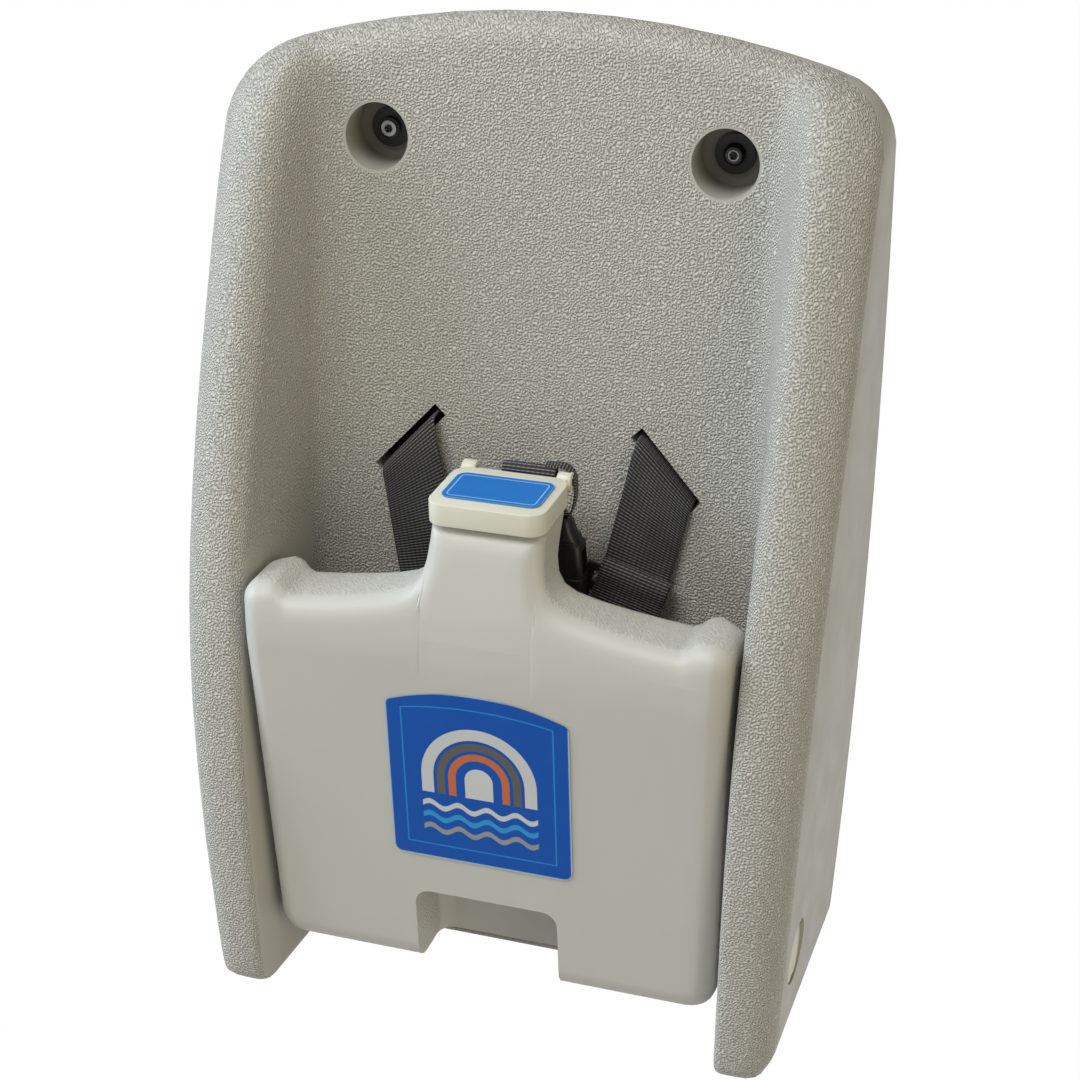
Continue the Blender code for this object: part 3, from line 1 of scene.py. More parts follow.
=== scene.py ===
"""Looks of the wall mounted child seat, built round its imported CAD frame.

Row frame: X across, Y into the wall, Z up, origin on the rear face at screw height.
A height h below is measured from the foot of the back shell, so z = h - screw_height.
A depth d is measured from the wall, so y = -d.
"""
import math

import bmesh
import bpy
from mathutils import Euler, Matrix, Vector


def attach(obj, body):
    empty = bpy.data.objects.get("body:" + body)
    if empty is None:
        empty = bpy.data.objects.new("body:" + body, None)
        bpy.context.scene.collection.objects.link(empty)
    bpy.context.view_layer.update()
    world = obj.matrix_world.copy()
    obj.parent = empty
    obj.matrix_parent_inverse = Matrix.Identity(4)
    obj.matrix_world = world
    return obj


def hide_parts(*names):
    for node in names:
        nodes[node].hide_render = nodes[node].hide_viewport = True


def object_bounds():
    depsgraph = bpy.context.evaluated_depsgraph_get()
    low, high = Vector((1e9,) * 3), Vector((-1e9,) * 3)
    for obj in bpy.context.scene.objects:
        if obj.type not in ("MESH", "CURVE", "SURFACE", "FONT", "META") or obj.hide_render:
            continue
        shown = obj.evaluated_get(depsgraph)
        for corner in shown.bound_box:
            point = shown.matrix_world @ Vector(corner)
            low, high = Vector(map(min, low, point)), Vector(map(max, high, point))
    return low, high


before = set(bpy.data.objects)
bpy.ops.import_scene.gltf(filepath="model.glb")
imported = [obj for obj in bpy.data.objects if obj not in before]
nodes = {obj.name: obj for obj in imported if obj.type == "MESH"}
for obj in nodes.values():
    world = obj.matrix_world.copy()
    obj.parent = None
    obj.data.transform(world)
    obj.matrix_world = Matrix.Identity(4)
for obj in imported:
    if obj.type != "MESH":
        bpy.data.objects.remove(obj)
cad_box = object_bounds()
screw_height = 0.425


def place(x, depth, height):
    """A point in the row frame from its sideways place, depth and height."""
    return Vector((x, -depth, height - screw_height))


# Camera

camera_data = bpy.data.cameras.new("camera")
camera_data.sensor_width = 36
camera_data.lens = 73.43
camera_data.clip_start = 0.01
camera = bpy.data.objects.new("camera", camera_data)
bpy.context.scene.collection.objects.link(camera)
bpy.context.scene.camera = camera
right = Vector((0.947329, 0.320027, -0.012273))
down = Vector((0.128170, -0.413964, -0.901225))
ahead = Vector((-0.293496, 0.852184, -0.433178))
turn = Matrix((right, -down, -ahead)).transposed().to_4x4()
camera.matrix_world = Matrix.Translation((0.32442, -0.98571, 0.28346)) @ turn


# Materials

class Nodes:
    """A small helper that builds a material's node tree."""

    def __init__(self, name):
        self.material = bpy.data.materials.new(name)
        self.material.use_nodes = True
        self.tree = self.material.node_tree
        self.tree.nodes.clear()
        self.shader = self.tree.nodes.new("ShaderNodeBsdfPrincipled")
        output = self.tree.nodes.new("ShaderNodeOutputMaterial")
        self.link(self.shader.outputs[0], output.inputs["Surface"])

    def link(self, a, b):
        self.tree.links.new(a, b)

    def put(self, socket, value):
        """Set a socket from a number, a colour or another node's output."""
        if isinstance(value, bpy.types.NodeSocket):
            self.link(value, socket)
        elif isinstance(value, tuple) and len(value) == 3 and socket.type == "RGBA":
            socket.default_value = (*value, 1.0)
        else:
            socket.default_value = value

    def node(self, kind, inputs=None, **settings):
        made = self.tree.nodes.new("ShaderNode" + kind)
        for key, value in settings.items():
            setattr(made, key, value)
        for key, value in (inputs or {}).items():
            self.put(made.inputs[key], value)
        return made

    def math(self, operation, a, b=0.0, c=0.0, clamp=False):
        made = self.node("Math", {0: a, 1: b, 2: c}, operation=operation, use_clamp=clamp)
        return made.outputs[0]

    def object_place(self):
        return self.node("TexCoord").outputs["Object"]

    def noise(self, scale, detail=2.0, vector=None):
        inputs = {"Scale": scale, "Detail": detail, "Vector": vector or self.object_place()}
        return self.node("TexNoise", inputs).outputs["Fac"]

    def voronoi(self, scale):
        inputs = {"Scale": scale, "Vector": self.object_place()}
        return self.node("TexVoronoi", inputs).outputs["Distance"]

    def ramp(self, value, low, high, start=0.0, end=1.0):
        inputs = {0: value, 1: low, 2: high, 3: start, 4: end}
        return self.node("MapRange", inputs).outputs[0]

    def mix(self, share, a, b):
        made = self.node("Mix", data_type="RGBA")
        self.put(made.inputs["Factor"], share)
        self.put(made.inputs[6], a)
        self.put(made.inputs[7], b)
        return made.outputs[2]

    def bump(self, height, distance, strength=1.0, normal=None):
        inputs = {"Height": height, "Distance": distance, "Strength": strength}
        if normal is not None:
            inputs["Normal"] = normal
        return self.node("Bump", inputs).outputs[0]

    def set(self, **values):
        for key, value in values.items():
            self.put(self.shader.inputs[key.replace("_", " ")], value)


def moulded_grain(kit, pitch):
    """Height of the worm-like moulded grain, and how far it faces the upper left, for painting
    light and shade on it.

    Sine waves of about one length in many directions are added up, which gives the
    even maze of ridges that such a grain has. Soft noise bends the maze. Where a face
    turns between the front and a side, the waves run along the turn, so that none is
    drawn out over it.
    """
    place = kit.object_place()
    bend = kit.node("TexNoise", {"Scale": 230.0, "Detail": 1.0, "Vector": place})
    shift = kit.node("VectorMath", {0: bend.outputs["Color"], 1: (0.5, 0.5, 0.5)},
                     operation="SUBTRACT")
    shift = kit.node("VectorMath", {0: shift.outputs[0], "Scale": pitch * 2.3},
                     operation="SCALE")
    place = kit.node("VectorMath", {0: place, 1: shift.outputs[0]}, operation="ADD").outputs[0]
    normal = kit.node("SeparateXYZ", {0: kit.node("TexCoord").outputs["Normal"]})
    turned = kit.math("MULTIPLY", normal.outputs[0], normal.outputs[1])
    ragged = kit.math("SUBTRACT", kit.noise(900.0, 1.0), 0.5)
    turned = kit.math("MULTIPLY_ADD", ragged, 0.25, turned)
    rising = kit.math("GREATER_THAN", turned, 0.25)
    falling = kit.math("LESS_THAN", turned, -0.25)
    split = kit.node("SeparateXYZ", {0: place})
    places = {}
    for side in (1, -1):
        other = rising if side > 0 else falling
        depth = kit.math("MULTIPLY_ADD", other, -2.0 * side, float(side))
        depth = kit.math("MULTIPLY", split.outputs[1], depth)
        made = kit.node("CombineXYZ", {0: split.outputs[0], 1: depth, 2: split.outputs[2]})
        places[side] = made.outputs[0]
    total, slope = 0.0, 0.0
    for k, (degrees, length, side) in enumerate((
            (4, 1.00, 1), (24, 0.82, -1), (49, 1.20, 1), (68, 0.92, -1), (91, 1.06, 1),
            (113, 0.84, 1), (137, 1.16, -1), (158, 0.95, 1))):
        angle = math.radians(degrees)
        wave = Vector((math.cos(angle), side * math.cos(angle), math.sin(angle)))
        turns = tuple(wave * (2 * math.pi / (pitch * length)))
        flat = (turns[0], turns[0], turns[2])
        phase = kit.node("VectorMath", {0: places[side], 1: flat}, operation="DOT_PRODUCT")
        phase = kit.math("ADD", phase.outputs["Value"], 1.7 * k)
        total = kit.math("ADD", kit.math("SINE", phase), total)
        # The painted light on the grain comes from the upper left
        lit = wave.dot(Vector((-0.55, -0.35, 0.76))) / length
        slope = kit.math("MULTIPLY_ADD", kit.math("COSINE", phase), lit, slope)
    return kit.ramp(total, -1.4, 1.6), kit.ramp(slope, -2.2, 2.2, 1.0, -1.0)


def paint_grain_light(kit, base, facing, share):
    """Painted light on the slopes of a grain that face the upper left, and painted shade on the
    others.
    """
    bright = kit.math("MULTIPLY", kit.math("MAXIMUM", facing, 0.0), share)
    away = kit.math("MULTIPLY", facing, -1.0)
    dark = kit.math("MULTIPLY", kit.math("MAXIMUM", away, 0.0), share)
    base = kit.mix(bright, base, (0.98, 0.97, 0.92))
    return kit.mix(dark, base, (0.045, 0.040, 0.028))


def wing_line(kit, height):
    """Depth of the wing fronts at a height above the foot."""
    shares = ((0.0, 1.0), (0.16, 1.0), (0.243, 0.99), (0.326, 0.968), (0.408, 0.928),
              (0.491, 0.864), (0.573, 0.778), (0.656, 0.678), (0.738, 0.57), (0.82, 0.46),
              (0.90, 0.335), (0.96, 0.20), (1.0, 0.126))
    curve = kit.node("FloatCurve", {"Value": kit.math("DIVIDE", height, 0.485)})
    points = curve.mapping.curves[0].points
    for k, (x, y) in enumerate(shares):
        if k < 2:
            points[k].location = (x, y)
        else:
            points.new(x, y)
    curve.mapping.update()
    return kit.math("MULTIPLY", curve.outputs[0], 0.1475)


def shell_material():
    """Grained back shell with smooth outer sides and smooth screw wells. The wells and the
    grain's hollows get painted shade, and the grain's slopes painted light and shade.
    """
    kit = Nodes("shell_plastic")
    split = kit.node("SeparateXYZ", {0: kit.object_place()})
    x = kit.math("ABSOLUTE", split.outputs[0])
    depth = kit.math("MULTIPLY", split.outputs[1], -1.0)
    height = kit.math("ADD", split.outputs[2], screw_height)
    behind = kit.math("SUBTRACT", wing_line(kit, height), depth)
    outside = kit.ramp(x, 0.1375, 0.1385)
    smooth_side = kit.math("MULTIPLY", outside, kit.ramp(behind, 0.0172, 0.0180))
    normal = kit.node("SeparateXYZ", {0: kit.node("TexCoord").outputs["Normal"]})
    strip = kit.math("MULTIPLY", kit.ramp(height, 0.42, 0.44), kit.ramp(x, 0.085, 0.135))
    strip = kit.math("MULTIPLY", strip, kit.ramp(depth, 0.0075, 0.0065))
    wall = kit.math("MULTIPLY", kit.ramp(kit.math("ABSOLUTE", normal.outputs[0]), 0.8, 0.93),
                    kit.ramp(x, 0.132, 0.128))
    wall = kit.math("MULTIPLY", wall, kit.ramp(height, 0.245, 0.225))
    plain = kit.math("MAXIMUM", kit.math("MAXIMUM", smooth_side, strip), wall)
    across = kit.math("SUBTRACT", x, 0.0864)
    reach = kit.math("SQRT", kit.math("ADD", kit.math("MULTIPLY", across, across),
                     kit.math("MULTIPLY", split.outputs[2], split.outputs[2])))
    well = kit.ramp(reach, 0.0172, 0.0166)
    plain = kit.math("MAXIMUM", plain, kit.ramp(reach, 0.0180, 0.0170))
    grained = kit.math("SUBTRACT", 1.0, plain, clamp=True)
    grain, facing = moulded_grain(kit, 0.00165)
    cloud = kit.noise(14.0, 3.0)
    base = kit.mix(cloud, (0.465, 0.460, 0.425), (0.510, 0.505, 0.468))
    # Painted shade in the hollows of the shell's grain
    painted_pit_shade = kit.math("MULTIPLY", kit.math("SUBTRACT", 1.0, grain), grained)
    base = kit.mix(kit.math("MULTIPLY", painted_pit_shade, 0.28), base, (0.235, 0.222, 0.178))
    # Painted light and painted shade on the slopes of the shell's grain
    base = paint_grain_light(kit, base, kit.math("MULTIPLY", facing, grained), 0.34)
    # Painted shade inside the screw wells, darkest towards their floors
    base = kit.mix(kit.math("MULTIPLY", kit.ramp(depth, 0.030, 0.008), kit.math(
        "MULTIPLY", well, 0.72)), base, (0.085, 0.080, 0.062))
    rough = kit.ramp(kit.noise(60.0, 3.0), 0.3, 0.7, 0.42, 0.52)
    step = kit.bump(smooth_side, 0.0004, 0.5)
    fine = kit.bump(kit.noise(900.0, 2.0), 0.00003, 0.4, step)
    height_of_grain = kit.math("MULTIPLY", grain, grained)
    kit.set(Base_Color=base, Roughness=rough, Specular_IOR_Level=0.45,
            Normal=kit.bump(height_of_grain, 0.00040, 1.0, fine))
    return kit.material


def seat_material():
    """Satin seat front with grained sides, ears and horn flanks, and a faint crease. The grain
    has painted shade in its hollows and painted light and shade on its slopes.
    """
    kit = Nodes("seat_plastic")
    split = kit.node("SeparateXYZ", {0: kit.object_place()})
    x = split.outputs[0]
    depth = kit.math("MULTIPLY", split.outputs[1], -1.0)
    height = kit.math("ADD", split.outputs[2], screw_height)
    normal = kit.node("SeparateXYZ", {0: kit.node("TexCoord").outputs["Normal"]})
    front = kit.ramp(normal.outputs[1], -0.42, -0.18)
    grained = kit.math("MULTIPLY", front, kit.ramp(depth, 0.134, 0.1325))
    grain, facing = moulded_grain(kit, 0.00150)
    cloud = kit.noise(9.0, 3.0)
    base = kit.mix(cloud, (0.535, 0.532, 0.500), (0.570, 0.567, 0.535))
    # Faint painted shade in the hollows of the seat's grain
    painted_pit_shade = kit.math("MULTIPLY", kit.math("SUBTRACT", 1.0, grain), grained)
    base = kit.mix(kit.math("MULTIPLY", painted_pit_shade, 0.04), base, (0.28, 0.265, 0.215))
    # Painted light and painted shade on the slopes of the seat's grain
    base = paint_grain_light(kit, base, kit.math("MULTIPLY", facing, grained), 0.13)
    dots = kit.ramp(kit.voronoi(34.0), 0.0165, 0.0120)
    dots = kit.math("MULTIPLY", dots, kit.ramp(kit.noise(26.0, 1.0), 0.60, 0.64))
    base = kit.mix(kit.math("MULTIPLY", dots, 0.55), base, (0.20, 0.18, 0.14))
    rough = kit.ramp(kit.noise(45.0, 3.0), 0.3, 0.7, 0.38, 0.48)
    bow = kit.math("MULTIPLY", kit.math("MULTIPLY", x, x), -0.45)
    line = kit.math("ADD", bow, kit.ramp(kit.noise(11.0, 2.0), 0.3, 0.7, 0.2175, 0.2215))
    off = kit.math("ABSOLUTE", kit.math("SUBTRACT", height, line))
    crease = kit.math("MULTIPLY", kit.ramp(off, 0.0050, 0.0), kit.ramp(depth, 0.136, 0.139))
    crease = kit.math("MULTIPLY", crease, kit.ramp(kit.noise(17.0, 1.0), 0.42, 0.60))
    scuff = kit.bump(kit.noise(1300.0, 2.0), 0.00003, 0.35)
    scuff = kit.bump(crease, 0.00025, 0.6, scuff)
    kit.set(Base_Color=base, Roughness=rough, Specular_IOR_Level=0.45,
            Normal=kit.bump(kit.math("MULTIPLY", grain, grained), 0.00016, 1.0, scuff))
    return kit.material


def plastic(name, low, high, rough, grain=0.00003):
    """Fine moulded plastic between two close colours."""
    kit = Nodes(name)
    base = kit.mix(kit.noise(25.0, 3.0), low, high)
    roughness = kit.ramp(kit.noise(70.0, 3.0), 0.3, 0.7, rough - 0.04, rough + 0.05)
    kit.set(Base_Color=base, Roughness=roughness,
            Normal=kit.bump(kit.noise(900.0, 2.0), grain, 0.5))
    return kit.material


def metal(name, colour, rough, stretch):
    """Metal with fine turning or drawing marks."""
    kit = Nodes(name)
    moved = kit.node("Mapping", {"Vector": kit.object_place(), "Scale": stretch})
    marks = kit.noise(900.0, 3.0, moved.outputs[0])
    low = tuple(channel * 0.85 for channel in colour)
    kit.set(Base_Color=kit.mix(marks, low, colour), Metallic=1.0,
            Roughness=kit.ramp(marks, 0.3, 0.7, rough - 0.05, rough + 0.08),
            Normal=kit.bump(marks, 0.00002, 0.4))
    return kit.material


def rounded_box(kit, x, y, half_x, half_y, radius):
    """Distance to a rectangle with round corners, below nought inside it."""
    reach_x = kit.math("SUBTRACT", kit.math("ABSOLUTE", x), half_x - radius)
    reach_y = kit.math("SUBTRACT", kit.math("ABSOLUTE", y), half_y - radius)
    out_x = kit.math("MAXIMUM", reach_x, 0.0)
    out_y = kit.math("MAXIMUM", reach_y, 0.0)
    outer = kit.math("SQRT", kit.math("ADD", kit.math("MULTIPLY", out_x, out_x),
                     kit.math("MULTIPLY", out_y, out_y)))
    inner = kit.math("MINIMUM", kit.math("MAXIMUM", reach_x, reach_y), 0.0)
    return kit.math("SUBTRACT", kit.math("ADD", outer, inner), radius)


def stroke(kit, distance, middle, half, soft=0.00012):
    """One where a distance is within half a line's width of its middle."""
    off = kit.math("ABSOLUTE", kit.math("SUBTRACT", distance, middle))
    return kit.ramp(off, half + soft, half - soft)


def film_finish(kit, base, rough=0.34):
    """The gloss and faint orange peel of a printed film."""
    kit.set(Base_Color=base, Specular_IOR_Level=0.18,
            Roughness=kit.ramp(kit.noise(80.0, 2.0), 0.3, 0.7, rough - 0.04, rough + 0.06),
            Normal=kit.bump(kit.noise(500.0, 2.0), 0.00002, 0.4))
    return kit.material


def label_material():
    """Blue cap label with a light blue line inside its edge and nothing else on it."""
    kit = Nodes("label_film")
    split = kit.node("SeparateXYZ", {0: kit.object_place()})
    depth = kit.math("ADD", split.outputs[1], 0.10275)
    edge = rounded_box(kit, split.outputs[0], depth, 0.0245, 0.0145, 0.0050)
    base = kit.mix(kit.noise(30.0, 2.0), (0.006, 0.162, 0.560), (0.009, 0.185, 0.610))
    base = kit.mix(stroke(kit, edge, -0.0026, 0.00028), base, (0.30, 0.55, 0.86))
    rim = kit.ramp(edge, -0.0006, -0.0003)
    base = kit.mix(rim, base, (0.10, 0.30, 0.66))
    return film_finish(kit, base)


def sign_material():
    """Blue sign with a pale rim, an inner line and a plain motif of arches and waves."""
    kit = Nodes("sign_film")
    split = kit.node("SeparateXYZ", {0: kit.object_place()})
    x = split.outputs[0]
    height = kit.math("ADD", split.outputs[2], screw_height)
    arch = kit.math("MULTIPLY", kit.math("MULTIPLY", x, x), 2.6)
    bent = kit.math("ADD", height, kit.math("MULTIPLY", arch, kit.ramp(height, 0.12, 0.18)))
    upright = kit.math("SUBTRACT", bent, 0.1434)
    edge = rounded_box(kit, x, upright, 0.0465, 0.0488, 0.0045)
    base = kit.mix(kit.noise(30.0, 2.0), (0.003, 0.078, 0.420), (0.005, 0.090, 0.460))
    base = kit.mix(stroke(kit, edge, -0.0080, 0.00038), base, (0.020, 0.240, 0.640))
    base = kit.mix(kit.ramp(edge, -0.0009, -0.0003), base, (0.42, 0.56, 0.74))
    above = kit.math("MAXIMUM", kit.math("SUBTRACT", height, 0.1440), 0.0)
    legs = kit.ramp(height, 0.1335, 0.1337)
    ring = kit.math("SQRT", kit.math("ADD", kit.math("MULTIPLY", x, x),
                    kit.math("MULTIPLY", above, above)))
    for middle, half, colour in (
            (0.0265, 0.0031, (0.60, 0.62, 0.64)), (0.0196, 0.0021, (0.115, 0.112, 0.112)),
            (0.0138, 0.0019, (0.56, 0.155, 0.050)), (0.0, 0.0072, (0.62, 0.64, 0.66))):
        shape = kit.math("MULTIPLY", stroke(kit, ring, middle, half), legs)
        base = kit.mix(shape, base, colour)
    inside = kit.ramp(kit.math("ABSOLUTE", x), 0.0298, 0.0296)
    swell = kit.math("MULTIPLY", kit.math("SINE", kit.math("MULTIPLY", x, 420.0)), 0.0017)
    for level, colour in ((0.1265, (0.60, 0.62, 0.64)), (0.1195, (0.035, 0.300, 0.700)),
                          (0.1125, (0.30, 0.31, 0.33))):
        off = kit.math("SUBTRACT", kit.math("SUBTRACT", height, level), swell)
        shape = kit.math("MULTIPLY", stroke(kit, off, 0.0, 0.0015), inside)
        base = kit.mix(shape, base, colour)
    return film_finish(kit, base, 0.38)


def screw_material():
    """Steel pan head with painted shade in its star recess, and on the right screw a head painted
    black as painted shade round a small steel middle.
    """
    kit = Nodes("screw_steel")
    split = kit.node("SeparateXYZ", {0: kit.object_place()})
    across = kit.math("SUBTRACT", kit.math("ABSOLUTE", split.outputs[0]), 0.0864)
    reach = kit.math("SQRT", kit.math("ADD", kit.math("MULTIPLY", across, across),
                     kit.math("MULTIPLY", split.outputs[2], split.outputs[2])))
    turn = kit.math("ARCTAN2", split.outputs[2], across)
    star = kit.math("MULTIPLY", kit.math("COSINE", kit.math("MULTIPLY", turn, 6.0)), 0.00035)
    # Painted shade in the star recess
    recess = kit.ramp(kit.math("SUBTRACT", reach, star), 0.0021, 0.0018)
    marks = kit.noise(1500.0, 3.0)
    base = kit.mix(marks, (0.20, 0.20, 0.19), (0.34, 0.34, 0.33))
    base = kit.mix(recess, base, (0.02, 0.02, 0.02))
    # Painted shade: on the right screw all but the middle of the head is black and not metal
    shaded_right_head = kit.math("MULTIPLY", kit.ramp(reach, 0.0025, 0.0028),
                      kit.ramp(split.outputs[0], -0.01, 0.01))
    base = kit.mix(shaded_right_head, base, (0.006, 0.006, 0.006))
    kit.set(Base_Color=base, Metallic=kit.math("SUBTRACT", 1.0, shaded_right_head),
            Roughness=kit.ramp(marks, 0.3, 0.7, 0.24, 0.38),
            Normal=kit.bump(marks, 0.00002, 0.4))
    return kit.material


def webbing_material():
    """Ribbed webbing, its rib crests painted lighter as a painted highlight. Its UV map holds
    metres across and along the strap.
    """
    kit = Nodes("webbing")
    uv = kit.node("SeparateXYZ", {0: kit.node("TexCoord").outputs["UV"]})
    across, along = uv.outputs[0], uv.outputs[1]
    stray = kit.math("MULTIPLY", kit.math("SUBTRACT", kit.noise(300.0, 1.0), 0.5), 0.00022)
    rib = kit.math("MULTIPLY", kit.math("ADD", along, stray), 2 * math.pi / 0.00148)
    rib = kit.math("MULTIPLY_ADD", kit.math("COSINE", rib), 0.5, 0.5)
    warp = kit.math("MULTIPLY", across, 2 * math.pi / 0.00250)
    warp = kit.math("MULTIPLY_ADD", kit.math("COSINE", warp), 0.5, 0.5)
    fuzz = kit.noise(2400.0, 2.0)
    # Painted highlight along the rib crests, unevenly strong
    glint = kit.math("MULTIPLY", kit.ramp(rib, 0.66, 0.94), kit.ramp(warp, 0.02, 0.40, 0.45, 1.0))
    glint = kit.math("MULTIPLY", glint, kit.ramp(fuzz, 0.3, 0.7, 0.75, 1.0))
    uneven_glint = kit.ramp(kit.noise(45.0, 3.0), 0.35, 0.65, 0.60, 1.0)
    base = kit.mix(kit.math("MULTIPLY", glint, uneven_glint), (0.006, 0.006, 0.007),
                   (0.290, 0.290, 0.302))
    height = kit.math("ADD", rib, kit.math("MULTIPLY", warp, 0.25))
    kit.set(Base_Color=base, Roughness=kit.ramp(fuzz, 0.3, 0.7, 0.60, 0.80),
            Sheen_Weight=0.12, Sheen_Roughness=0.5,
            Normal=kit.bump(height, 0.00012, 0.8))
    return kit.material


shell_look = shell_material()
seat_look = seat_material()
cap_look = plastic("cap_plastic", (0.70, 0.695, 0.595), (0.74, 0.735, 0.635), 0.36)
label_look = label_material()
sign_look = sign_material()
black_look = plastic("black_plastic", (0.008, 0.008, 0.009), (0.014, 0.014, 0.015), 0.38)
bush_look = plastic("bush_plastic", (0.62, 0.62, 0.58), (0.68, 0.68, 0.64), 0.45)
washer_look = plastic("black_washer", (0.003, 0.003, 0.003), (0.005, 0.005, 0.005), 0.55)
steel_look = metal("steel", (0.62, 0.62, 0.60), 0.28, (1.0, 6.0, 1.0))
screw_look = screw_material()
# The pocket lid is near black as painted shade inside the pocket behind the slots
pocket_shade_look = plastic("pocket_shade_plastic", (0.020, 0.020, 0.021), (0.030, 0.030, 0.031), 0.46, 0.00006)
webbing_look = webbing_material()


def smooth_by_angle(item, degrees=35):
    """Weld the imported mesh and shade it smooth, but sharp along its real edges."""
    group = bpy.data.node_groups.get("smooth_by_angle_%d" % degrees)
    if group is None:
        group = bpy.data.node_groups.new("smooth_by_angle_%d" % degrees, "GeometryNodeTree")
        group.interface.new_socket("Geometry", in_out="INPUT", socket_type="NodeSocketGeometry")
        group.interface.new_socket("Geometry", in_out="OUTPUT", socket_type="NodeSocketGeometry")
        start = group.nodes.new("NodeGroupInput")
        end = group.nodes.new("NodeGroupOutput")
        weld = group.nodes.new("GeometryNodeMergeByDistance")
        weld.inputs["Distance"].default_value = 0.00001
        faces = group.nodes.new("GeometryNodeSetShadeSmooth")
        faces.domain = "FACE"
        edges = group.nodes.new("GeometryNodeSetShadeSmooth")
        edges.domain = "EDGE"
        angle = group.nodes.new("GeometryNodeInputMeshEdgeAngle")
        compare = group.nodes.new("FunctionNodeCompare")
        compare.data_type = "FLOAT"
        compare.operation = "LESS_EQUAL"
        compare.inputs[1].default_value = math.radians(degrees)
        link = group.links.new
        link(start.outputs[0], weld.inputs["Geometry"])
        link(weld.outputs[0], faces.inputs["Geometry"])
        link(faces.outputs[0], edges.inputs["Geometry"])
        link(angle.outputs["Unsigned Angle"], compare.inputs[0])
        link(compare.outputs[0], edges.inputs["Shade Smooth"])
        link(edges.outputs[0], end.inputs[0])
    change = item.modifiers.new("smooth_by_angle", "NODES")
    change.node_group = group


def dress(name, look, degrees=35):
    """Give a CAD node its material and smooth shading."""
    item = nodes[name]
    item.data.materials.clear()
    item.data.materials.append(look)
    smooth_by_angle(item, degrees)
    return item


def new_piece(name, bm, look, body):
    """Turn a bmesh into a piece that rides on a CAD body."""
    bmesh.ops.recalc_face_normals(bm, faces=bm.faces)
    mesh = bpy.data.meshes.new(name)
    bm.to_mesh(mesh)
    bm.free()
    mesh.materials.append(look)
    item = bpy.data.objects.new(name, mesh)
    bpy.context.scene.collection.objects.link(item)
    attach(item, body)
    return item


dress("back_shell", shell_look)
seat = dress("seat_body", seat_look, 55)
# Keep the seat's flat front evenly shaded up to its rounds
even = seat.modifiers.new("even", "WEIGHTED_NORMAL")
even.mode = "FACE_AREA"
even.weight = 100
even.keep_sharp = True
dress("horn_cap", cap_look)
dress("cap_label", label_look)
dress("seat_sign", sign_look)
dress("pocket_lid", pocket_shade_look)
dress("harness_tongue", black_look)
dress("buckle_socket", black_look)
dress("strap_anchor_bar", steel_look)
dress("crotch_strap_pin", steel_look)
for word in ("left", "right"):
    dress("pivot_pin_" + word, steel_look)
    dress("pivot_bush_" + word, bush_look)
    dress("friction_washer_" + word, washer_look)
    dress("pivot_cap_" + word, cap_look)
    dress("mount_screw_" + word, screw_look)
    dress("mount_washer_" + word, washer_look)
    dress("strap_adjuster_" + word, black_look)


# Webbing, on the routes that the CAD model gives it

touch_gap = 0.0003
webbing_width = 0.0340
webbing_thickness = 0.0016
tail_thickness = 0.0012
curve_steps = 3
body_height = 0.485
panel_foot = 0.0665
panel_top = 0.0175
panel_bend = 0.155
panel_slope = (panel_foot - panel_top) / (body_height - panel_bend)
panel_lean = math.atan(panel_slope)
slot_inner_x, slot_inner_height = 0.0505, 0.2950
slot_outer_x, slot_outer_height = 0.0820, 0.2613
slot_x = (slot_inner_x + slot_outer_x) / 2
slot_height = (slot_inner_height + slot_outer_height) / 2
slot_angle = math.atan2(slot_inner_height - slot_outer_height, slot_outer_x - slot_inner_x)
bar_radius = 0.0040
bar_depth = 0.0160
bar_height = 0.2360
pocket_depth = 0.0340
strap_loop_height = 0.0150
strap_end_fold = 0.0130
tongue_top = 0.1540
tongue_foot = 0.0980
tongue_thickness = 0.0040
tongue_bar = 0.0055
tongue_window = 0.0075
adjuster_thickness = 0.0026
adjuster_half_length = 0.0115
tail_length = 0.0330
lug_depth, lug_level, lug_radius = 0.0750, 0.2787, 0.0048
lug_pin_radius = 0.0020
crotch_webbing_width = 0.0270
crotch_offset = 0.0062
crotch_tuck = 0.0110
buckle_offset = 0.0130
buckle_depth = 0.0750
buckle_top = 0.2600
strap_lean = 0.0270
strap_standoff = 0.0042
strap_turn = 0.0036
strap_drop = slot_height - tongue_top
strap_slope = math.atan2(strap_lean, strap_drop)


def panel_depth(height):
    """Depth of the back panel."""
    return panel_foot - panel_slope * max(0.0, height - panel_bend)


def strap_x(side, height):
    """Sideways place of a shoulder strap's middle."""
    return side * (slot_x - strap_lean * max(0.0, slot_height - height) / strap_drop)


def blend(a, b, share):
    return a + (b - a) * share


tongue_depth = (panel_depth(tongue_foot) + tongue_thickness / 2 + touch_gap * 4
                + webbing_thickness)


def smooth_stations(stations):
    """A smooth curve through stations of (centre, half width vector)."""
    out = []
    last = len(stations) - 1
    for k in range(last):
        before, start = stations[max(k - 1, 0)], stations[k]
        end, after = stations[k + 1], stations[min(k + 2, last)]
        for step in range(curve_steps):
            t = step / curve_steps
            pair = []
            for n in (0, 1):
                a, b, c, d = before[n], start[n], end[n], after[n]
                pair.append(0.5 * (2 * b + (c - a) * t + (2 * a - 5 * b + 4 * c - d) * t * t
                                   + (3 * b - a - 3 * c + d) * t * t * t))
            out.append(tuple(pair))
    return out + [stations[last]]


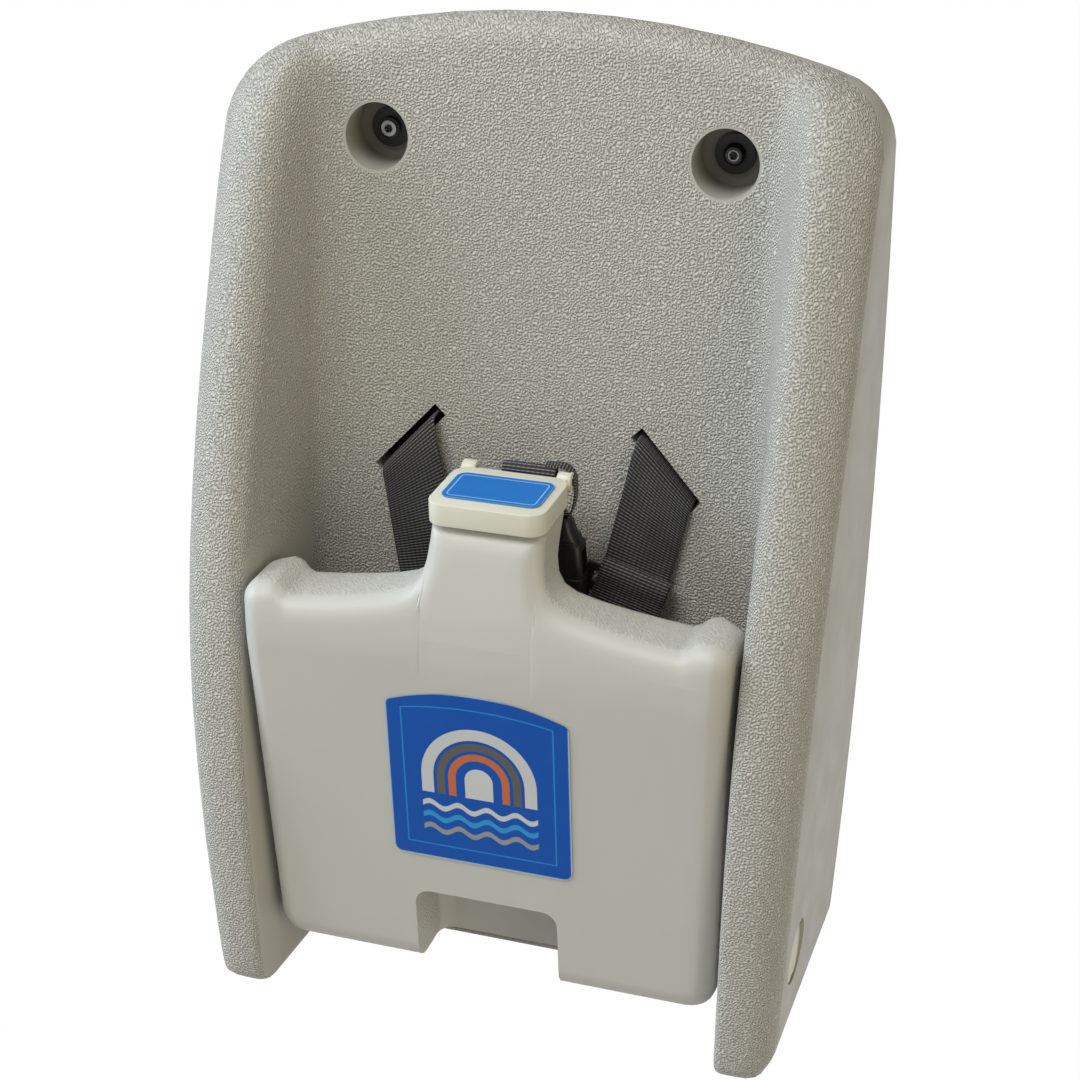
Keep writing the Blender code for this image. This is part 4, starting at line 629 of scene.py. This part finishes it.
def webbing_band(name, stations, thickness, body):
    """A woven band with rounded selvedges and a UV map in metres."""
    stations = [(Vector(centre), Vector(half)) for centre, half in stations]
    stations = smooth_stations(stations)
    columns = (-1.0, -0.97, -0.86, -0.6, -0.3, 0.0, 0.3, 0.6, 0.86, 0.97, 1.0)
    fullness = (0.30, 0.75, 1.0, 1.0, 1.0, 1.0, 1.0, 1.0, 1.0, 0.75, 0.30)
    bm = bmesh.new()
    uv = bm.loops.layers.uv.new("UVMap")
    rings = []
    run = 0.0
    for k, (centre, half) in enumerate(stations):
        before = stations[max(k - 1, 0)][0]
        after = stations[min(k + 1, len(stations) - 1)][0]
        if k:
            run += (centre - before).length
        normal = (after - before).cross(half).normalized() * thickness / 2
        top = [(centre + half * c + normal * f, c * half.length, run)
               for c, f in zip(columns, fullness)]
        low = [(centre + half * c - normal * f, c * half.length, run)
               for c, f in zip(columns, fullness)]
        rings.append([(bm.verts.new(point), u, v) for point, u, v in top + low[::-1]])
    count = len(rings[0])
    for low, high in zip(rings, rings[1:]):
        for k in range(count):
            corners = (low[k], low[(k + 1) % count], high[(k + 1) % count], high[k])
            face = bm.faces.new([corner[0] for corner in corners])
            face.smooth = True
            for loop, corner in zip(face.loops, corners):
                loop[uv].uv = (corner[1], corner[2])
    for ring in (rings[0][::-1], rings[-1]):
        face = bm.faces.new([corner[0] for corner in ring])
        for loop, corner in zip(face.loops, ring):
            loop[uv].uv = (corner[1], corner[2])
    return new_piece(name, bm, webbing_look, body)


def webbing_piece(name, stations, thickness, body):
    """A woven band in place of the CAD node of that name."""
    item = webbing_band(name + "_webbing", stations, thickness, body)
    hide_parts(name)


def shoulder_strap(side, word):
    """Webbing from the anchor bar, out of its slot and down the panel to the tongue."""
    wrap = bar_radius + touch_gap + webbing_thickness / 2
    route = [(bar_depth - wrap, bar_height + strap_loop_height, 0.0)]
    for step in range(9):
        angle = math.pi + math.pi * step / 8
        route.append((bar_depth + wrap * math.cos(angle),
                      bar_height + wrap * math.sin(angle), 0.0))
    climb = slot_height - bar_height
    reach = pocket_depth - bar_depth - wrap
    front = panel_depth(slot_height)
    stay = front - pocket_depth
    turned = slot_height - strap_turn * 1.2
    route += [
        (pocket_depth - reach * 0.6, bar_height + climb * 0.6, 0.5),
        (pocket_depth - reach * 0.2, slot_height - climb * 0.06, 0.95),
        (pocket_depth + stay * 0.25, slot_height, 1.0),
        (pocket_depth + stay * 0.85, slot_height, 1.0),
        (front + strap_turn * 0.75, slot_height - strap_turn * 0.2, 1.0),
        (panel_depth(turned) + strap_turn * 1.25, turned, 0.92),
    ]
    for share, slant in ((0.12, 0.72), (0.22, 0.46), (0.34, 0.2), (0.46, 0.04), (0.58, 0.0),
                         (0.72, 0.0), (0.86, 0.0)):
        height = slot_height - strap_drop * share
        route.append((panel_depth(height) + strap_standoff, height, slant))
    hung = tongue_depth - tongue_thickness / 2 - touch_gap - webbing_thickness / 2
    out = tongue_depth + tongue_thickness / 2 + touch_gap + webbing_thickness
    bar_low = tongue_top - tongue_bar
    window = bar_low - tongue_window / 2
    route += [
        (hung, tongue_top, 0.0), (hung, bar_low, 0.0),
        (tongue_depth - tongue_thickness / 4, window, 0.0),
        (tongue_depth + tongue_thickness / 4, window, 0.0),
        (out, bar_low, 0.0), (out, bar_low + strap_end_fold, 0.0),
    ]
    stations = []
    for depth, height, slant in route:
        hanging = depth > pocket_depth and height < slot_height
        straight = strap_slope if hanging else 0.0
        angle = blend(straight, slot_angle, slant)
        straight = strap_slope if hanging else strap_slope * slant
        if depth >= hung and height <= tongue_top + 0.0065:
            angle = straight = 0.0
        half = webbing_width / 2 / math.cos(angle - straight)
        half = Vector((side * math.cos(angle), 0, -math.sin(angle))) * half
        stations.append((place(strap_x(side, max(height, tongue_top)), depth, height), half))
    webbing_piece("shoulder_strap_" + word, stations, webbing_thickness, "back")


def strap_tail(side, word, height, skew):
    """Webbing folded over the upper end of a strap adjuster, with a loose end below."""
    thickness = tail_thickness
    stand = (thickness + 2 * touch_gap + adjuster_thickness / 2) / math.cos(panel_lean)
    depth = panel_depth(height) + strap_standoff + webbing_thickness / 2 + stand
    origin = place(strap_x(side, height), depth, height)
    turned = Euler((-panel_lean, side * strap_slope + skew, 0)).to_matrix()
    skin = adjuster_thickness / 2 + touch_gap + thickness / 2
    top = adjuster_half_length
    crest = top + touch_gap + thickness
    route = [(-skin, 0), (-skin, top - touch_gap), (-skin * 0.7, crest + 0.0006),
             (skin * 0.8, crest + 0.0010), (skin * 1.7, top - 0.0010), (skin * 1.7, top - 0.0050),
             (skin, 0), (skin, -top), (skin * 0.85, top - tail_length)]
    half = turned @ Vector((webbing_width / 2 + 0.0006, 0, 0))
    stations = [(origin + turned @ Vector((0, -out, up)), half) for out, up in route]
    webbing_piece("strap_tail_" + word, stations, thickness, "slide_" + word)


def crotch_strap():
    """Webbing round the pin behind the cap, down to the buckle, and over the right lug."""
    wrap = lug_pin_radius + touch_gap + webbing_thickness / 2
    route = [(lug_depth + wrap, lug_level - crotch_tuck, 0.0)]
    rise = wrap + 0.0032
    for step in range(7):
        angle = math.pi * step / 6
        route.append((lug_depth + wrap * math.cos(angle),
                      lug_level + rise * math.sin(angle), 0.0))
    route.append((lug_depth - wrap, lug_level - lug_radius * 1.2, 0.0))
    route.append((blend(lug_depth - wrap, buckle_depth, 0.6),
                  buckle_top + crotch_tuck * 0.33, 0.6))
    route.append((buckle_depth, buckle_top + touch_gap, 1.0))
    half = Vector((crotch_webbing_width / 2, 0, 0))
    stations = [(place(blend(crotch_offset, buckle_offset, share), depth, height), half)
                for depth, height, share in route]
    webbing_piece("crotch_strap", stations, webbing_thickness, "seat")
    route = [(0.0140, 0.0742, 0.2856), (0.0190, 0.0738, 0.2860), (0.0235, 0.0734, 0.2856),
             (0.0268, 0.0730, 0.2832), (0.0284, 0.0728, 0.2790), (0.0286, 0.0728, 0.2735),
             (0.0282, 0.0731, 0.2680), (0.0268, 0.0736, 0.2628), (0.0244, 0.0742, 0.2585)]
    stations = [(place(*spot), Vector((0.0, 0.0024, 0.0005))) for spot in route]
    loop = webbing_band("crotch_strap_loop", stations, tail_thickness, "seat")


for strap_side, strap_word, strap_level, tail_skew in (
        (-1, "left", 0.1990, 0.0), (1, "right", 0.2165, math.radians(4.5))):
    shoulder_strap(strap_side, strap_word)
    strap_tail(strap_side, strap_word, strap_level, tail_skew)
crotch_strap()


# Floor, backdrop and light

def stage_plane(name, corners, look):
    mesh = bpy.data.meshes.new(name)
    mesh.from_pydata(corners, [], [tuple(range(len(corners)))])
    mesh.materials.append(look)
    item = bpy.data.objects.new(name, mesh)
    bpy.context.scene.collection.objects.link(item)


def floor_material():
    """A pale floor that shows white to the camera and keeps a soft shadow."""
    kit = Nodes("floor")
    grain = kit.noise(40.0, 2.0)
    kit.set(Base_Color=kit.mix(grain, (0.44, 0.43, 0.41), (0.48, 0.47, 0.45)), Roughness=0.8)
    glow = kit.node("Emission", {"Color": (1.0, 1.0, 1.0), "Strength": 1.0})
    path = kit.node("LightPath")
    seen = kit.math("MAXIMUM", path.outputs["Is Camera Ray"], path.outputs["Is Glossy Ray"])
    seen = kit.math("MAXIMUM", seen, path.outputs["Is Transmission Ray"])
    share = kit.math("MULTIPLY", seen, 0.995)
    both = kit.node("MixShader", {0: share, 1: kit.shader.outputs[0], 2: glow.outputs[0]})
    output = next(n for n in kit.tree.nodes if n.type == "OUTPUT_MATERIAL")
    kit.link(both.outputs[0], output.inputs["Surface"])
    return kit.material


floor_reach = 6
floor_gap = 0.0005
level = cad_box[0].z - floor_gap
stage_plane("floor", [(x * floor_reach, y * floor_reach, level)
                      for x, y in ((-1, -1), (1, -1), (1, 1), (-1, 1))], floor_material())

world = bpy.data.worlds.new("studio")
bpy.context.scene.world = world
world.use_nodes = True
tree = world.node_tree
tree.nodes.clear()
soft = tree.nodes.new("ShaderNodeBackground")
soft.inputs["Color"].default_value = (1.0, 0.975, 0.92, 1.0)
soft.inputs["Strength"].default_value = 0.25
white = tree.nodes.new("ShaderNodeBackground")
white.inputs["Color"].default_value = (1.0, 1.0, 1.0, 1.0)
white.inputs["Strength"].default_value = 1.0
rays = tree.nodes.new("ShaderNodeLightPath")
either = tree.nodes.new("ShaderNodeMath")
either.operation = "MAXIMUM"
tree.links.new(rays.outputs["Is Camera Ray"], either.inputs[0])
tree.links.new(rays.outputs["Is Transmission Ray"], either.inputs[1])
choose = tree.nodes.new("ShaderNodeMixShader")
tree.links.new(either.outputs[0], choose.inputs[0])
tree.links.new(soft.outputs[0], choose.inputs[1])
tree.links.new(white.outputs[0], choose.inputs[2])
sky = tree.nodes.new("ShaderNodeOutputWorld")
tree.links.new(choose.outputs[0], sky.inputs["Surface"])


def area_light(name, where, target, size, power, colour):
    data = bpy.data.lights.new(name, "AREA")
    data.shape = "RECTANGLE"
    data.size, data.size_y = size
    data.energy = power
    data.color = colour
    lamp = bpy.data.objects.new(name, data)
    bpy.context.scene.collection.objects.link(lamp)
    lamp.location = where
    aim = Vector(target) - Vector(where)
    lamp.rotation_euler = aim.to_track_quat("-Z", "Y").to_euler()


middle = (0.0, -0.07, -0.18)
area_light("key", (-0.77, -1.32, 2.45), middle, (1.7, 1.4), 52.0, (1.0, 0.99, 0.955))
area_light("left", (-2.34, -0.59, 0.80), middle, (1.2, 1.4), 46.0, (0.78, 0.90, 1.0))
area_light("right", (2.08, -1.50, 0.34), middle, (1.4, 1.8), 15.0, (1.0, 0.85, 0.50))

bpy.context.scene.view_settings.view_transform = "Standard"
